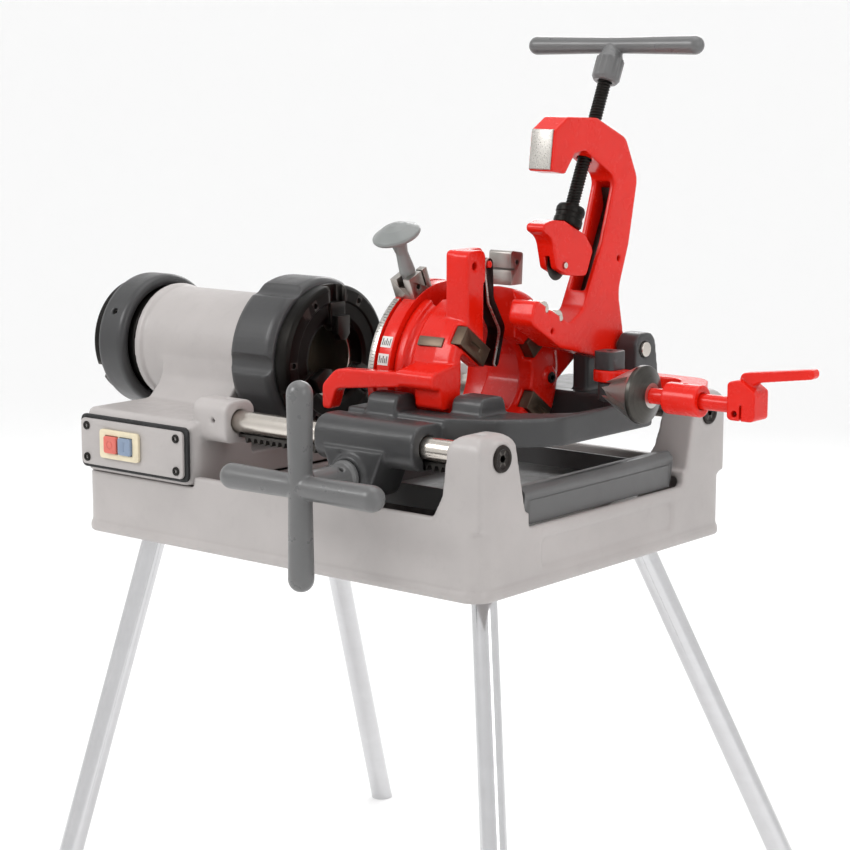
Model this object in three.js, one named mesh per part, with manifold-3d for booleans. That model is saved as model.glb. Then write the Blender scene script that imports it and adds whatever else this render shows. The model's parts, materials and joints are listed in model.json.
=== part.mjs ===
// A pipe threading machine on four splayed tube legs.
// Millimetres, +Z up. X runs along the spindle from the rear chuck to the tail end, and -Y is the side
// with the switch and the hand wheel. The origin is on the floor, in the middle of the machine's box.
import * as THREE from "three";
import { mergeVertices } from "three/addons/utils/BufferGeometryUtils.js";
import Module from "manifold-3d";

const wasm = await Module();
wasm.setup();

// ---- driving dimensions -------------------------------------------------------------------------
const LEG_H = 560; // floor to the underside of the base
const BASE_X = -89; // middle of the base, so that the whole machine's box is centred on the origin
const BASE = { l: 700, w: 550, rim: 100, wall: 12, floor: 8, corner: 26 };
const GAP = 0.3; // between pieces that touch
const POST = { z: 204, x: 292, foot: 180, top: 204, ledge: 80 };
const RAIL = { y: 232, z: 175, r: 15, from: -124, to: 334 };
const HEAD = { x0: -350, x1: -135, z0: 86, z1: 172, wall: 8 }; // headstock box
const SPINDLE = { y: -40, z: 238, r: 55, bore: 46, from: -476, to: -104 };
const BARREL = { r: 82, from: -404, to: -196, wall: 6 };
const CHUCK = { from: -192, face: -84, r: 84, faceR: 104, ringR: 113, step: -107 };
const REAR = { from: -490, to: -412, r: 78, faceR: 88, ringR: 98, step: -471 };
const JAWS = 3;
const LEG = { r: 16.7, wall: 2.7, y: 172, left: -310, right: 277, inSocket: 46, boss: 25, bossDown: 14 };
const SPLAY = { y: 0.335, left: -0.07, right: 0.32 }; // sideways for each mm down
const MODULE = 3.5; // of every gear and of the rack
const TEETH = { main: 40, counterPinion: 10, counterGear: 16, motor: 9, feed: 10 };
const FEED = { x: 139, y0: -205 }; // hand wheel's shaft
const RACK = { from: -84, to: 288, w: 12, h: 12 };
const WHEEL = { y: -360, reach: 132, r: 16.5, hub: 18 };
const CARRIAGE = { x0: 72, x1: 236, deck0: 172, deck1: 209 };
const PIVOT = { y: 118, z: 270, r: 10 }; // shaft that the die head and the cutter tilt on
const DIE = { x0: 112, x1: 212, r: 120, throat: 54, flat: -66, chasers: [35, 145, 215, 325] };
const CAM = { x0: 76, x1: 111.6, r: 123, bore: 88, knobAngle: 24 };
const CUTTER = { x: 264, half: 19, lean: 24, seatY: -20, seatZ: 355, screwR: 9, handle: 342 };
const REAMER = { postX: 318, postY: 40, sleeve: [462, 512], tip: 352, rim: 438, r: 37, bar: 10, end: 668 };
const TRAY = { x0: 42, x1: 337, y: 166, z0: 80.4, z1: 110, front: 128, wall: 5 };
const PANEL = { x0: -347, x1: -138, z0: 92, z1: 166 };

// ---- solids: closed three.js geometries that can be joined and cut --------------------------------
function volumeOf(points, corners) {
  const [a, b, c] = [0, 1, 2].map(() => new THREE.Vector3());
  let six = 0;
  for (let i = 0; i < corners.length; i += 3) {
    a.fromArray(points, 3 * corners[i]);
    b.fromArray(points, 3 * corners[i + 1]);
    c.fromArray(points, 3 * corners[i + 2]);
    six += a.dot(b.cross(c));
  }
  return six / 6;
}

function solid(geometry) {
  const bare = geometry.clone();
  bare.deleteAttribute("normal");
  bare.deleteAttribute("uv");
  const merged = mergeVertices(bare, 1e-3);
  const points = merged.attributes.position.array;
  const corners = new Uint32Array(merged.index.array);
  if (volumeOf(points, corners) < 0) corners.reverse(); // faces point out
  return new wasm.Manifold(new wasm.Mesh({ numProp: 3, vertProperties: points, triVerts: corners }));
}

function geometryOf(made) {
  const mesh = made.getMesh();
  const indexed = new THREE.BufferGeometry();
  indexed.setAttribute("position", new THREE.BufferAttribute(mesh.vertProperties, 3));
  indexed.setIndex(new THREE.BufferAttribute(mesh.triVerts, 1));
  const flat = indexed.toNonIndexed();
  flat.computeVertexNormals();
  return flat;
}

const join = (...made) => made.reduce((all, next) => all.add(next));
const cut = (from, ...made) => made.reduce((left, next) => left.subtract(next), from);

// Turns the XYZ of a shape drawn in XY and extruded along Z so that Z points along the named axis.
function along(geometry, axis) {
  const turn = new THREE.Matrix4();
  const [x, y, z] = [new THREE.Vector3(1, 0, 0), new THREE.Vector3(0, 1, 0), new THREE.Vector3(0, 0, 1)];
  if (axis === "x") turn.makeBasis(y, z, x);
  if (axis === "y") turn.makeBasis(z, x, y);
  return geometry.applyMatrix4(turn);
}

function block([x0, x1], [y0, y1], [z0, z1]) {
  const g = new THREE.BoxGeometry(x1 - x0, y1 - y0, z1 - z0);
  return solid(g.translate((x0 + x1) / 2, (y0 + y1) / 2, (z0 + z1) / 2));
}

// A round bar from one place to another on the axis, with its centre at the other two coordinates.
function bar(axis, r, [from, to], [a, b] = [0, 0], sides = 16, endR = r) {
  const g = new THREE.CylinderGeometry(endR, r, to - from, sides).rotateX(Math.PI / 2);
  along(g.translate(0, 0, (from + to) / 2), axis);
  const at = { x: [0, a, b], y: [a, 0, b], z: [a, b, 0] }[axis];
  return solid(g.translate(...at));
}

// A round bar between two points.
function strut(p, q, r, sides = 12) {
  const [a, b] = [new THREE.Vector3(...p), new THREE.Vector3(...q)];
  const way = b.clone().sub(a);
  const g = new THREE.CylinderGeometry(r, r, way.length(), sides);
  const up = new THREE.Vector3(0, 1, 0);
  g.applyQuaternion(new THREE.Quaternion().setFromUnitVectors(up, way.clone().normalize()));
  return solid(g.translate(...a.add(b).multiplyScalar(0.5)));
}

// An outline whose corners [a, b, r] are rounded by r, or by what the edges beside them have room for.
function outline(corners) {
  const shape = new THREE.Shape();
  const n = corners.length;
  corners.forEach(([a, b, wanted = 0], i) => {
    const here = new THREE.Vector2(a, b);
    const before = new THREE.Vector2(...corners[(i + n - 1) % n]).sub(here);
    const after = new THREE.Vector2(...corners[(i + 1) % n]).sub(here);
    const r = Math.min(wanted, 0.45 * before.length(), 0.45 * after.length());
    before.setLength(r).add(here);
    after.setLength(r).add(here);
    if (i === 0) shape.moveTo(before.x, before.y);
    else shape.lineTo(before.x, before.y);
    if (r) shape.quadraticCurveTo(a, b, after.x, after.y);
  });
  shape.closePath();
  return shape;
}

// A plate: an outline drawn in YZ (axis x), XZ (axis y) or XY (axis z) between two places on the axis.
function plate(axis, [from, to], corners, steps = 2) {
  const drawn = axis === "y" ? corners.map(([x, z, r]) => [z, x, r]) : corners;
  const g = new THREE.ExtrudeGeometry(outline(drawn), {
    depth: to - from,
    bevelEnabled: false,
    curveSegments: steps,
  });
  return solid(along(g.translate(0, 0, from), axis));
}

const rectangle = (a0, a1, b0, b1, r = 0) => [
  [a0, b0, r],
  [a1, b0, r],
  [a1, b1, r],
  [a0, b1, r],
];

// A turned piece: [place on the axis, radius] points that start and end on the axis, or close.
function turned(axis, points, sides = 20) {
  const g = new THREE.LatheGeometry(points.map(([at, r]) => new THREE.Vector2(r, at)), sides);
  return solid(along(g.rotateX(Math.PI / 2), axis));
}

function ring(axis, [from, to], inner, outer, sides = 24, edge = 0) {
  return turned(
    axis,
    [
      [from, inner],
      [from, outer - edge],
      ...(edge ? [[from + edge, outer], [to - edge, outer]] : []),
      [to, outer - edge],
      [to, inner],
      [from, inner],
    ],
    sides,
  );
}

// A spur gear about X. Its first tooth stands at the given angle, or its first gap where gapFirst.
function gear(teeth, [from, to], bore, angle, gapFirst) {
  const step = (2 * Math.PI) / teeth;
  const pitchR = (teeth * MODULE) / 2;
  const shape = new THREE.Shape();
  for (let i = 0; i < teeth; i++) {
    const middle = THREE.MathUtils.degToRad(angle) + (i + (gapFirst ? 0.5 : 0)) * step;
    [
      [pitchR - 1.2 * MODULE, -0.28],
      [pitchR + 0.75 * MODULE, -0.1],
      [pitchR + 0.75 * MODULE, 0.1],
      [pitchR - 1.2 * MODULE, 0.28],
    ].forEach(([r, part], corner) => {
      const a = middle + part * step;
      if (i === 0 && corner === 0) shape.moveTo(r * Math.cos(a), r * Math.sin(a));
      else shape.lineTo(r * Math.cos(a), r * Math.sin(a));
    });
  }
  shape.closePath();
  const g = new THREE.ExtrudeGeometry(shape, { depth: to - from, bevelEnabled: false });
  const body = solid(along(g.translate(0, 0, from), "x"));
  return bore ? cut(body, bar("x", bore, [from - 1, to + 1], [0, 0], 28)) : body;
}

// ---- materials and scene ------------------------------------------------------------------------
const finish = (color, roughness, metalness) =>
  new THREE.MeshStandardMaterial({ color, roughness, metalness });
const paint = finish(0xc9c3c0, 0.5, 0.1); // light warm grey casting paint
const grey = finish(0x5a5a5c, 0.5, 0.15); // dark grey casting paint
const red = finish(0xd42010, 0.35, 0.05);
const steel = finish(0xb4b2ac, 0.3, 0.9);
const black = finish(0x241f1d, 0.45, 0.5);
const chrome = finish(0xd8d8d8, 0.15, 1);
const rubber = finish(0x161616, 0.8, 0);
const cream = finish(0xe6dcc8, 0.5, 0);
const stopRed = finish(0xc03028, 0.5, 0);
const startBlue = finish(0x8b9bb0, 0.5, 0);
const motorGreen = finish(0x54605c, 0.6, 0.2);
const bronze = finish(0x8d7a58, 0.4, 0.8);

const machine = new THREE.Group();
machine.position.set(BASE_X, 0, LEG_H);

function piece(name, made, material, group = machine) {
  const mesh = new THREE.Mesh(geometryOf(made), material);
  mesh.name = name;
  group.add(mesh);
  return mesh;
}

// A group inside the machine, moved and then turned about X.
function place(x, y, z, tilt = 0, parent = machine) {
  const group = new THREE.Group();
  group.position.set(x, y, z);
  group.rotation.x = THREE.MathUtils.degToRad(tilt);
  parent.add(group);
  return group;
}

const sides = [-1, 1];
const legs = [];
for (const end of ["left", "right"])
  for (const side of sides)
    legs.push({
      name: (side < 0 ? "front_" : "back_") + end,
      at: (z) => [LEG[end] - SPLAY[end] * z, side * (LEG.y - SPLAY.y * z), z],
    });

// ---- base ---------------------------------------------------------------------------------------
function baseCasting() {
  const { l, w, rim, wall, floor, corner } = BASE;
  const inside = rectangle(-l / 2 + wall, l / 2 - wall, -w / 2 + wall, w / 2 - wall, corner - wall / 2);
  let tub = plate("z", [0, rim], rectangle(-l / 2, l / 2, -w / 2, w / 2, corner));
  for (const side of sides) {
    const face = (side * w) / 2;
    const front = plate(
      "y",
      side < 0 ? [face, -POST.foot + 9] : [POST.foot - 9, face],
      [
        [274, rim - 10],
        [l / 2, rim - 10],
        [l / 2, POST.z, 18],
        [302, POST.z, 18],
        [POST.x, 128, 12],
        [279, rim + 1, 6],
      ],
    );
    const end = plate(
      "x",
      [270, l / 2],
      [
        [face, 50],
        [face, POST.z, 20],
        [side * POST.top, POST.z, 20],
        [side * POST.foot, rim],
        [side * 174, 50],
      ],
    );
    tub = join(tub, front.intersect(end));
  }
  tub = cut(
    tub,
    plate("z", [floor, rim - 9], inside),
    block([-l / 2 + wall, 270], [-w / 2 + wall, w / 2 - wall], [rim - 30, rim + 1]),
    block([269, l / 2 + 1], [-173, 173], [POST.ledge, rim + 1]),
    block([-l / 2 - 1, HEAD.x1], [-w / 2 - 1, w / 2 + 1], [HEAD.z0 - GAP, rim + 1]),
  );
  tub = join(
    tub,
    block([HEAD.x1 - 8, HEAD.x1], [-w / 2 + 6, w / 2 - 6], [floor - 1, HEAD.z0 - GAP]),
    block([30, TRAY.x0 + 6], [-w / 2 + 6, w / 2 - 6], [floor - 1, POST.ledge]),
    ...legs.map((leg) => strut(leg.at(-LEG.bossDown), leg.at(LEG.inSocket + 8), LEG.boss)),
  );
  tub = cut(tub, ...legs.map((leg) => strut(leg.at(LEG.inSocket), leg.at(-40), LEG.r + GAP, 12)));
  for (const side of sides)
    tub = cut(tub, bar("x", RAIL.r + GAP, [280, l / 2 + 1], [side * RAIL.y, RAIL.z]));
  return tub;
}
piece("base_casting", baseCasting(), paint);

for (const leg of legs) {
  // A tube from inside its socket down to the floor, where it is cut level.
  const low = -LEG_H - 30;
  const tube = cut(
    strut(leg.at(LEG.inSocket - GAP), leg.at(low), LEG.r, 12),
    strut(leg.at(LEG.inSocket + 10), leg.at(low - 10), LEG.r - LEG.wall, 12),
    block([-900, 900], [-900, 900], [-LEG_H - 100, -LEG_H]),
  );
  piece("leg_" + leg.name, tube, chrome);
}

// ---- rails and rack -----------------------------------------------------------------------------
for (const side of sides) {
  const name = side < 0 ? "front_" : "rear_";
  const at = [side * RAIL.y, RAIL.z];
  piece(name + "rail", bar("x", RAIL.r, [RAIL.from, RAIL.to], at), steel);
  const plug = join(
    bar("x", RAIL.r - GAP, [RAIL.to + GAP, BASE.l / 2 + 1], at),
    bar("x", RAIL.r + 2.5, [BASE.l / 2 + GAP, BASE.l / 2 + 4], at, 16, RAIL.r + 1),
  );
  piece(name + "rail_plug", plug, black);
}

const PITCH = Math.PI * MODULE;
const rackTop = RAIL.z - RAIL.r - GAP;
const rackPitchZ = rackTop - RACK.h + MODULE;
const feedZ = rackPitchZ - (TEETH.feed * MODULE) / 2;

function rack() {
  const low = rackTop - RACK.h + MODULE * 0.25;
  const root = low + MODULE * 1.95;
  const points = [[RACK.to, rackTop], [RACK.from, rackTop], [RACK.from, root]];
  const first = Math.ceil((RACK.from - FEED.x) / PITCH + 0.6);
  const last = Math.floor((RACK.to - FEED.x) / PITCH - 0.6);
  for (let i = first; i <= last; i++) {
    const x = FEED.x + i * PITCH;
    points.push([x - 0.28 * PITCH, root], [x - 0.1 * PITCH, low]);
    points.push([x + 0.1 * PITCH, low], [x + 0.28 * PITCH, root]);
  }
  points.push([RACK.to, root]);
  return plate("y", [-RAIL.y - RACK.w / 2, -RAIL.y + RACK.w / 2], points);
}
piece("feed_rack", rack(), steel);

// ---- headstock ----------------------------------------------------------------------------------
const axis = [SPINDLE.y, SPINDLE.z];

function saddle(out, [from, to]) {
  const r = BARREL.r + out;
  const y = SPINDLE.y;
  const flare = 44;
  return plate("x", [from, to], [
    [y - r - flare, HEAD.z1 - 12],
    [y + r + flare, HEAD.z1 - 12],
    [y + r + 6, HEAD.z1 + 26, 20],
    [y + r - 1, SPINDLE.z],
    [y - r + 1, SPINDLE.z],
    [y - r - 6, HEAD.z1 + 26, 20],
  ]);
}

function headstockHousing() {
  const { x0, x1, z0, z1, wall } = HEAD;
  const y = BASE.w / 2;
  const half = RAIL.y + 28;
  const reach = CHUCK.ringR + 7;
  const pocket = (margin) =>
    block(
      [CHUCK.from - 4 - margin, x1 + 1],
      [SPINDLE.y - reach - margin, SPINDLE.y + reach + margin],
      [SPINDLE.z - reach - margin, SPINDLE.z + reach],
    );
  let shell = join(
    plate("x", [x0, x1], [[-y, z0], [y, z0], [y, z1, 16], [-y, z1, 16]]),
    saddle(0, [x0 + 4, BARREL.to]),
    bar("x", BARREL.r, [BARREL.from + 8, BARREL.to], axis, 28),
    ring("x", [BARREL.from, BARREL.from + 12], 60, BARREL.r + 4, 28, 2).translate([0, ...axis]),
  );
  for (const side of sides)
    shell = join(
      shell,
      plate("x", [x1 - 14, -87], [
        [side * (RAIL.y - 28), 146, 8],
        [side * half, 146, 8],
        [side * half, 203, 16],
        [side * (RAIL.y - 28), 203, 16],
      ]),
    );
  shell = cut(
    shell,
    pocket(0),
    block([x0 + wall, x1 - wall], [-y + wall, y - wall], [z0 - 1, z1 - wall]).subtract(pocket(wall)),
    saddle(-wall, [x0 + wall + 4, BARREL.to - wall]).translate([0, 0, -wall - 1]),
    bar("x", BARREL.r - BARREL.wall, [BARREL.from + 14, BARREL.to - 14], axis, 28),
    bar("x", 66.6, [BARREL.from - 1, BARREL.to + 1], axis, 28),
  );
  for (const side of sides)
    shell = cut(shell, bar("x", RAIL.r + GAP, [RAIL.from - GAP, -80], [side * RAIL.y, RAIL.z]));
  return shell;
}
piece("headstock_housing", headstockHousing(), paint);

for (const [name, from] of [["rear_bearing", BARREL.from + 1], ["front_bearing", BARREL.to - 13]])
  piece(name, ring("x", [from, from + 12], SPINDLE.r + 0.6, 66, 28), bronze, place(0, ...axis));

// The switch panel on the headstock's front face: a gasket, a plate, the switch and its two buttons.
const front = -BASE.w / 2;
const panelMiddle = [(PANEL.x0 + PANEL.x1) / 2, (PANEL.z0 + PANEL.z1) / 2];
const switchX = -262;
const buttonHalf = 12;

function layer([y0, y1], inset) {
  const { x0, x1, z0, z1 } = PANEL;
  return plate("y", [y0, y1], rectangle(x0 + inset, x1 - inset, z0 + inset, z1 - inset, 8));
}
piece("switch_gasket", layer([front - 6, front - GAP], 0), rubber);
piece(
  "switch_plate",
  cut(layer([front - 11, front - 6.3], 6), block([switchX - 34, switchX + 34], [-400, 0], [114, 146])),
  paint,
);
const switchBody = join(
  block([switchX - 33, switchX + 33], [front - 11, front - 6.3], [115, 145]),
  plate("y", [front - 15, front - 11.3], rectangle(switchX - 38, switchX + 38, 110, 150, 4)),
  block([switchX - 33, switchX + 33], [front - 12, front - 10], [115, 145]),
);
const buttonHole = (x) =>
  block([x - buttonHalf - GAP, x + buttonHalf + GAP], [front - 20, front - 7.5], [118, 142]);
const buttons = [
  ["stop_button", switchX - 14, stopRed],
  ["start_button", switchX + 14, startBlue],
];
piece("switch_body", cut(switchBody, ...buttons.map(([, x]) => buttonHole(x))), cream);
for (const [name, x, colour] of buttons)
  piece(
    name,
    plate("y", [front - 19, front - 12], rectangle(x - buttonHalf, x + buttonHalf, 118.4, 141.6, 3)),
    colour,
  );

// ---- motor and gears, closed in by the headstock --------------------------------------------------
// Where a meshing gear's axis lies, at an angle in degrees from the first gear's axis.
function meshed(from, teeth, angle) {
  const reach = (teeth * MODULE) / 2;
  const turn = THREE.MathUtils.degToRad(angle);
  return { y: from.y + reach * Math.cos(turn), z: from.z + reach * Math.sin(turn) };
}
const counterAngle = -58;
const motorAngle = -50;
const COUNTER = meshed(SPINDLE, TEETH.main + TEETH.counterPinion, counterAngle);
const MOTOR = meshed(COUNTER, TEETH.counterGear + TEETH.motor, motorAngle);
const mainX = [-236, -216];
const fastX = [-258, -244];

const counterAxis = place(0, COUNTER.y, COUNTER.z);
piece(
  "countershaft",
  join(
    bar("x", 9, [-264, -212], [0, 0], 16),
    gear(TEETH.counterPinion, [mainX[0] - 1, mainX[1] + 1], 0, counterAngle + 180, true),
    gear(TEETH.counterGear, fastX, 0, motorAngle, false),
  ),
  steel,
  counterAxis,
);
const motorAxis = place(0, MOTOR.y, MOTOR.z);
piece(
  "motor",
  cut(
    join(
      turned("x", [[-338, 0], [-338, 32], [-331, 42], [-276, 42], [-268, 32], [-263, 20], [-263, 0]], 16),
      block([-328, -278], [-40, 40], [-MOTOR.z + BASE.floor + GAP, -30]),
    ),
    bar("x", 8.4, [-276, -262], [0, 0], 16),
  ),
  motorGreen,
  motorAxis,
);
piece(
  "motor_pinion",
  join(bar("x", 8, [-275, -240], [0, 0], 12), gear(TEETH.motor, fastX, 0, motorAngle + 180, true)),
  steel,
  motorAxis,
);
piece("oil_pump", join(
  block([-110, -50], [150, 226], [BASE.floor + GAP, 48]),
  bar("z", 24, [40, 72], [-80, 188], 16),
), grey);

// ---- spindle with its two chucks ------------------------------------------------------------------
const spindleLine = place(0, ...axis);
piece("spindle_tube", ring("x", [SPINDLE.from, SPINDLE.to], SPINDLE.bore, SPINDLE.r, 28), steel, spindleLine);
piece("main_gear", gear(TEETH.main, mainX, SPINDLE.r + 0.6, counterAngle, false), steel, spindleLine);

// A chuck body: a hub for the turning ring and a wider face with one radial slot for each jaw.
function chuckBody({ r, faceR }, [hub0, hub1], [face0, face1], slotW, slotDepth, outward) {
  const body = join(
    ring("x", [hub0, hub1], SPINDLE.r + 0.6, r, 24),
    ring("x", [face0, face1], SPINDLE.r + 0.6, faceR, 24, 4),
  );
  const slotX = outward > 0 ? [face1 - slotDepth, face1 + 1] : [face0 - 1, face0 + slotDepth];
  return cut(body, ...spread(JAWS, () => block(slotX, [-slotW / 2, slotW / 2], [SPINDLE.r - 4, faceR + 9])));
}

// The same solid made count times, turned evenly about X.
function spread(count, make, start = 0) {
  return Array.from({ length: count }, (_, i) => make(i).rotate([start + (360 / count) * i, 0, 0]));
}

// A jaw that points up before it is turned: a block with a stepped, chamfered gripping end.
function jaw([x0, x1], low, high, width, nose) {
  const profile = [
    [-width / 2, low + nose],
    [-width / 5, low],
    [width / 5, low],
    [width / 2, low + nose],
    [width / 2, high],
    [-width / 2, high],
  ];
  return plate("x", [x0, x1], profile);
}

// A ring to grip: lobes with finger notches between them.
function gripRing([from, to], inner, outer, lobes, notch, edge) {
  const body = ring("x", [from, to], inner, outer, 24, edge);
  const cutter = () => bar("x", notch, [from - 1, to + 1], [0, outer + notch * 0.62], 10);
  return cut(body, ...spread(lobes, cutter, 180 / lobes));
}

piece(
  "chuck_body",
  chuckBody(CHUCK, [CHUCK.from, CHUCK.step + 1], [CHUCK.step, CHUCK.face], 30, 16, 1),
  black,
  spindleLine,
);
piece(
  "hammer_ring",
  gripRing([CHUCK.from + 4, CHUCK.step - GAP], CHUCK.r + 0.9, CHUCK.ringR, 6, 17, 10),
  grey,
  spindleLine,
);
piece(
  "rear_chuck_body",
  chuckBody(REAR, [REAR.step - 1, REAR.to], [REAR.from, REAR.step], 24, 12, -1),
  black,
  spindleLine,
);
piece(
  "rear_ring",
  gripRing([REAR.step + GAP, REAR.to - 6], REAR.r + 0.9, REAR.ringR, 6, 9, 8),
  grey,
  spindleLine,
);
for (let i = 0; i < JAWS; i++) {
  const turn = (360 / JAWS) * i;
  const number = i + 1;
  const frontJaw = join(
    jaw([CHUCK.face - 15.6, CHUCK.face + 1], 40, 80, 29.4, 9),
    jaw([CHUCK.face, CHUCK.face + 12], 28, 62, 24, 9),
  );
  piece("chuck_jaw_" + number, frontJaw.rotate([turn, 0, 0]), black, spindleLine);
  const rearJaw = jaw([REAR.from - 2, REAR.from + 11.6], 47, 74, 23.4, 7);
  piece("rear_jaw_" + number, rearJaw.rotate([turn, 0, 0]), black, spindleLine);
}

// ---- carriage -------------------------------------------------------------------------------------
function carriageCasting() {
  const { x0, x1, deck0, deck1 } = CARRIAGE;
  const y = RAIL.y;
  const deck = plate("z", [deck0, deck1], [
    [x0 + 4, -y + 30],
    [x1, -y + 30],
    [298, -172, 40],
    [346, -104, 30],
    [346, 104, 30],
    [298, 150, 30],
    [x1 - 6, y - 30],
    [112, y - 30],
    [112, 76],
    [x0 + 4, 76],
  ]);
  let casting = join(
    deck,
    plate("x", [x0, x1], rectangle(-y - 31, -y + 36, 146, 205, 22)),
    plate("x", [108, x1], rectangle(y - 32, y + 30, 146, 205, 22)),
    plate("y", [-y - 36, -y + 28], [
      [FEED.x - 34, feedZ, 20],
      [FEED.x - 24, feedZ - 30, 14],
      [FEED.x + 24, feedZ - 30, 14],
      [FEED.x + 38, feedZ, 20],
      [FEED.x + 52, 168],
      [FEED.x - 48, 168],
    ]),
    bar("y", 27, [-y - 42, -y + 20], [FEED.x, feedZ], 28),
  );
  // Pedestals that the die head rests on, and lugs for the shaft that it tilts on.
  casting = join(
    casting,
    plate("x", [110, 158], [[-208, 190], [-160, 190], [-160, 230, 8], [-200, 230, 8]]),
    plate("x", [222, 270], [[-176, 190], [-112, 190], [-122, 232, 8], [-166, 232, 8]]),
    ...[[118, 150], [217, 241], [288, 320]].map((span) =>
      plate("x", span, [[98, 190], [160, 190], [142, PIVOT.z + 22, 18], [98, PIVOT.z + 22, 14]]),
    ),
  );
  casting = cut(
    casting,
    block([60, 234], [-160, 84], [deck0 - 1, deck1 + 12]),
    block([230, 287], [-106, 84], [deck0 - 1, deck1 + 1]),
    plate("z", [deck0 + 12, deck1 + 1], [
      [280, -96, 12],
      [300, -96, 16],
      [334, -60, 20],
      [334, 70, 20],
      [280, 70, 12],
    ]),
    bar("x", PIVOT.r + 0.4, [100, 340], [PIVOT.y, PIVOT.z], 16),
    bar("x", RAIL.r + 0.4, [0, 400], [-y, RAIL.z]),
    bar("x", RAIL.r + 0.4, [0, 400], [y, RAIL.z]),
    block([0, 400], [-y - RACK.w / 2 - 1, -y + RACK.w / 2 + 1], [rackTop - RACK.h - 1, RAIL.z - 6]),
    bar("y", (TEETH.feed * MODULE) / 2 + 4, [-y - 13, -y + 13], [FEED.x, feedZ], 28),
    bar("y", 8.4, [-400, FEED.y0 - 4], [FEED.x, feedZ], 16),
    bar("y", 8.4, [FEED.y0 - 6, -150], [FEED.x, feedZ], 16),
  );
  return join(
    casting,
    bar("z", 14, [deck0 + 10, 236], [REAMER.postX, REAMER.postY], 16),
    bar("z", 8, [235, 264], [REAMER.postX, REAMER.postY], 16),
  );
}
piece("carriage_casting", carriageCasting(), grey);
piece("pivot_shaft", bar("x", PIVOT.r, [114, 324], [PIVOT.y, PIVOT.z], 16), steel);

const feedAxis = place(FEED.x, 0, feedZ);
const feedPinion = gear(TEETH.feed, [-RAIL.y - 11, -RAIL.y + 11], 0, 90, true).rotate([0, 0, 90]);
piece("feed_pinion", join(bar("y", 8, [WHEEL.y + 14, FEED.y0 + 8], [0, 0], 16), feedPinion), steel, feedAxis);

function handWheel() {
  const arm = new THREE.CapsuleGeometry(WHEEL.r, 2 * (WHEEL.reach - WHEEL.r), 3, 12);
  const hub = turned("y", [
    [-RAIL.y - 43, 0],
    [-RAIL.y - 43, WHEEL.hub + 4],
    [-RAIL.y - 50, WHEEL.hub],
    [WHEEL.y, WHEEL.hub - 2],
    [WHEEL.y - 12, 8],
    [WHEEL.y - 12, 0],
  ].reverse(), 24);
  const upright = solid(arm.clone().rotateX(Math.PI / 2).translate(0, WHEEL.y, 0));
  const level = solid(arm.clone().rotateZ(Math.PI / 2).translate(0, WHEEL.y, 0));
  return cut(join(hub, upright, level), bar("y", 8 + GAP, [WHEEL.y + 13, 0], [0, 0], 16));
}
piece("handwheel", handWheel(), grey, feedAxis);

// ---- die head: drawn about the spindle's axis -------------------------------------------------------
const dieHead = place(0, ...axis);
const hinge = [PIVOT.y - SPINDLE.y, PIVOT.z - SPINDLE.z];
const EAR = { x: [188, 212], y: -34, z: 152 };
const LUG_X = [155, 209];

function dieHeadFrame() {
  const { x0, x1, r, throat, flat } = DIE;
  const lug = plate("x", LUG_X, [[84, -34], [84, 74], [hinge[0], hinge[1] + 20], [hinge[0], hinge[1] - 20]]);
  let body = join(
    bar("x", r - 6, [x0, x1 - 50], [0, 0], 28),
    bar("x", r, [x1 - 52, x1], [0, 0], 28),
    lug,
    bar("x", 20, LUG_X, hinge),
    plate("x", EAR.x, [[-84, 60], [-46, 60], [-46, 172, 8], [-84, 172, 8]]),
    plate("x", [EAR.x[0] - 12, EAR.x[0] + 1], [
      [-84, 60],
      [-46, 60],
      [-46, 134],
      [-22, 134, 8],
      [-22, 172, 8],
      [-84, 172, 8],
    ]),
  );
  body = cut(
    body,
    bar("x", throat, [x0 - 1, x1 + 1], [0, 0], 24),
    plate("x", [x0 - 1, x1 - 24], [
      [-62, -50, 8],
      [62, -50, 8],
      [85, -14, 16],
      [85, 22, 24],
      [50, 70, 24],
      [-50, 70, 24],
      [-85, 22, 24],
      [-85, -14, 16],
    ]),
    block([x0 - 1, x1 + 1], [-50, 16], [0, r + 10]),
    block([x0 - 1, x1 + 1], [-200, 110], [-200, flat]),
    bar("x", PIVOT.r + 0.4, [x0, x1], hinge, 16),
    bar("x", 5, [x0, x1 + 1], [-68, 152], 12),
    ...DIE.chasers.map((a) => chaser(a, GAP, 50)),
    plate("x", [x0 + 24, x1 + 1], [[-20, 20, 6], [-54, 20], [-97, 46, 6], [-97, -40, 6], [-54, -20], [-20, -20, 6]]),
  );
  return join(
    body,
    plate("x", [x1 - 42, x1], [
      [-142, 10, 8],
      [-136, -26, 8],
      [-119, -26],
      [-117, -50, 6],
      [-101, -50],
      [-101, 10],
    ]),
    plate("x", [x1 - 60, x1], [[-155, 1, 6], [-96, 1], [-96, 34], [-155, 22, 6]]),
    plate("y", [-155, -134], [
      [x1 - 56, 1],
      [x1 - 56, 20],
      [50, 16, 10],
      [26, -6, 10],
      [26, -38],
      [40, -38],
      [50, -10, 6],
    ]),
    bar("x", 5, [EAR.x[0] - 2, EAR.x[1] - 2], [EAR.y, EAR.z], 12),
  );
}

// A chaser, or with a margin the slot that it slides in.
function chaser(angle, margin, inner) {
  const half = 13 + margin;
  const outer = (angle < 180 ? 116 : 106) + 8 * Math.sign(margin);
  const slot = block([DIE.x1 - 13 - margin, DIE.x1 + 3], [inner, outer], [-half, half]);
  return slot.rotate([angle, 0, 0]);
}
piece("die_head_frame", dieHeadFrame(), red, dieHead);
DIE.chasers.forEach((angle, i) => piece("chaser_" + (i + 1), chaser(angle, 0, 57), black, dieHead));

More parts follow.
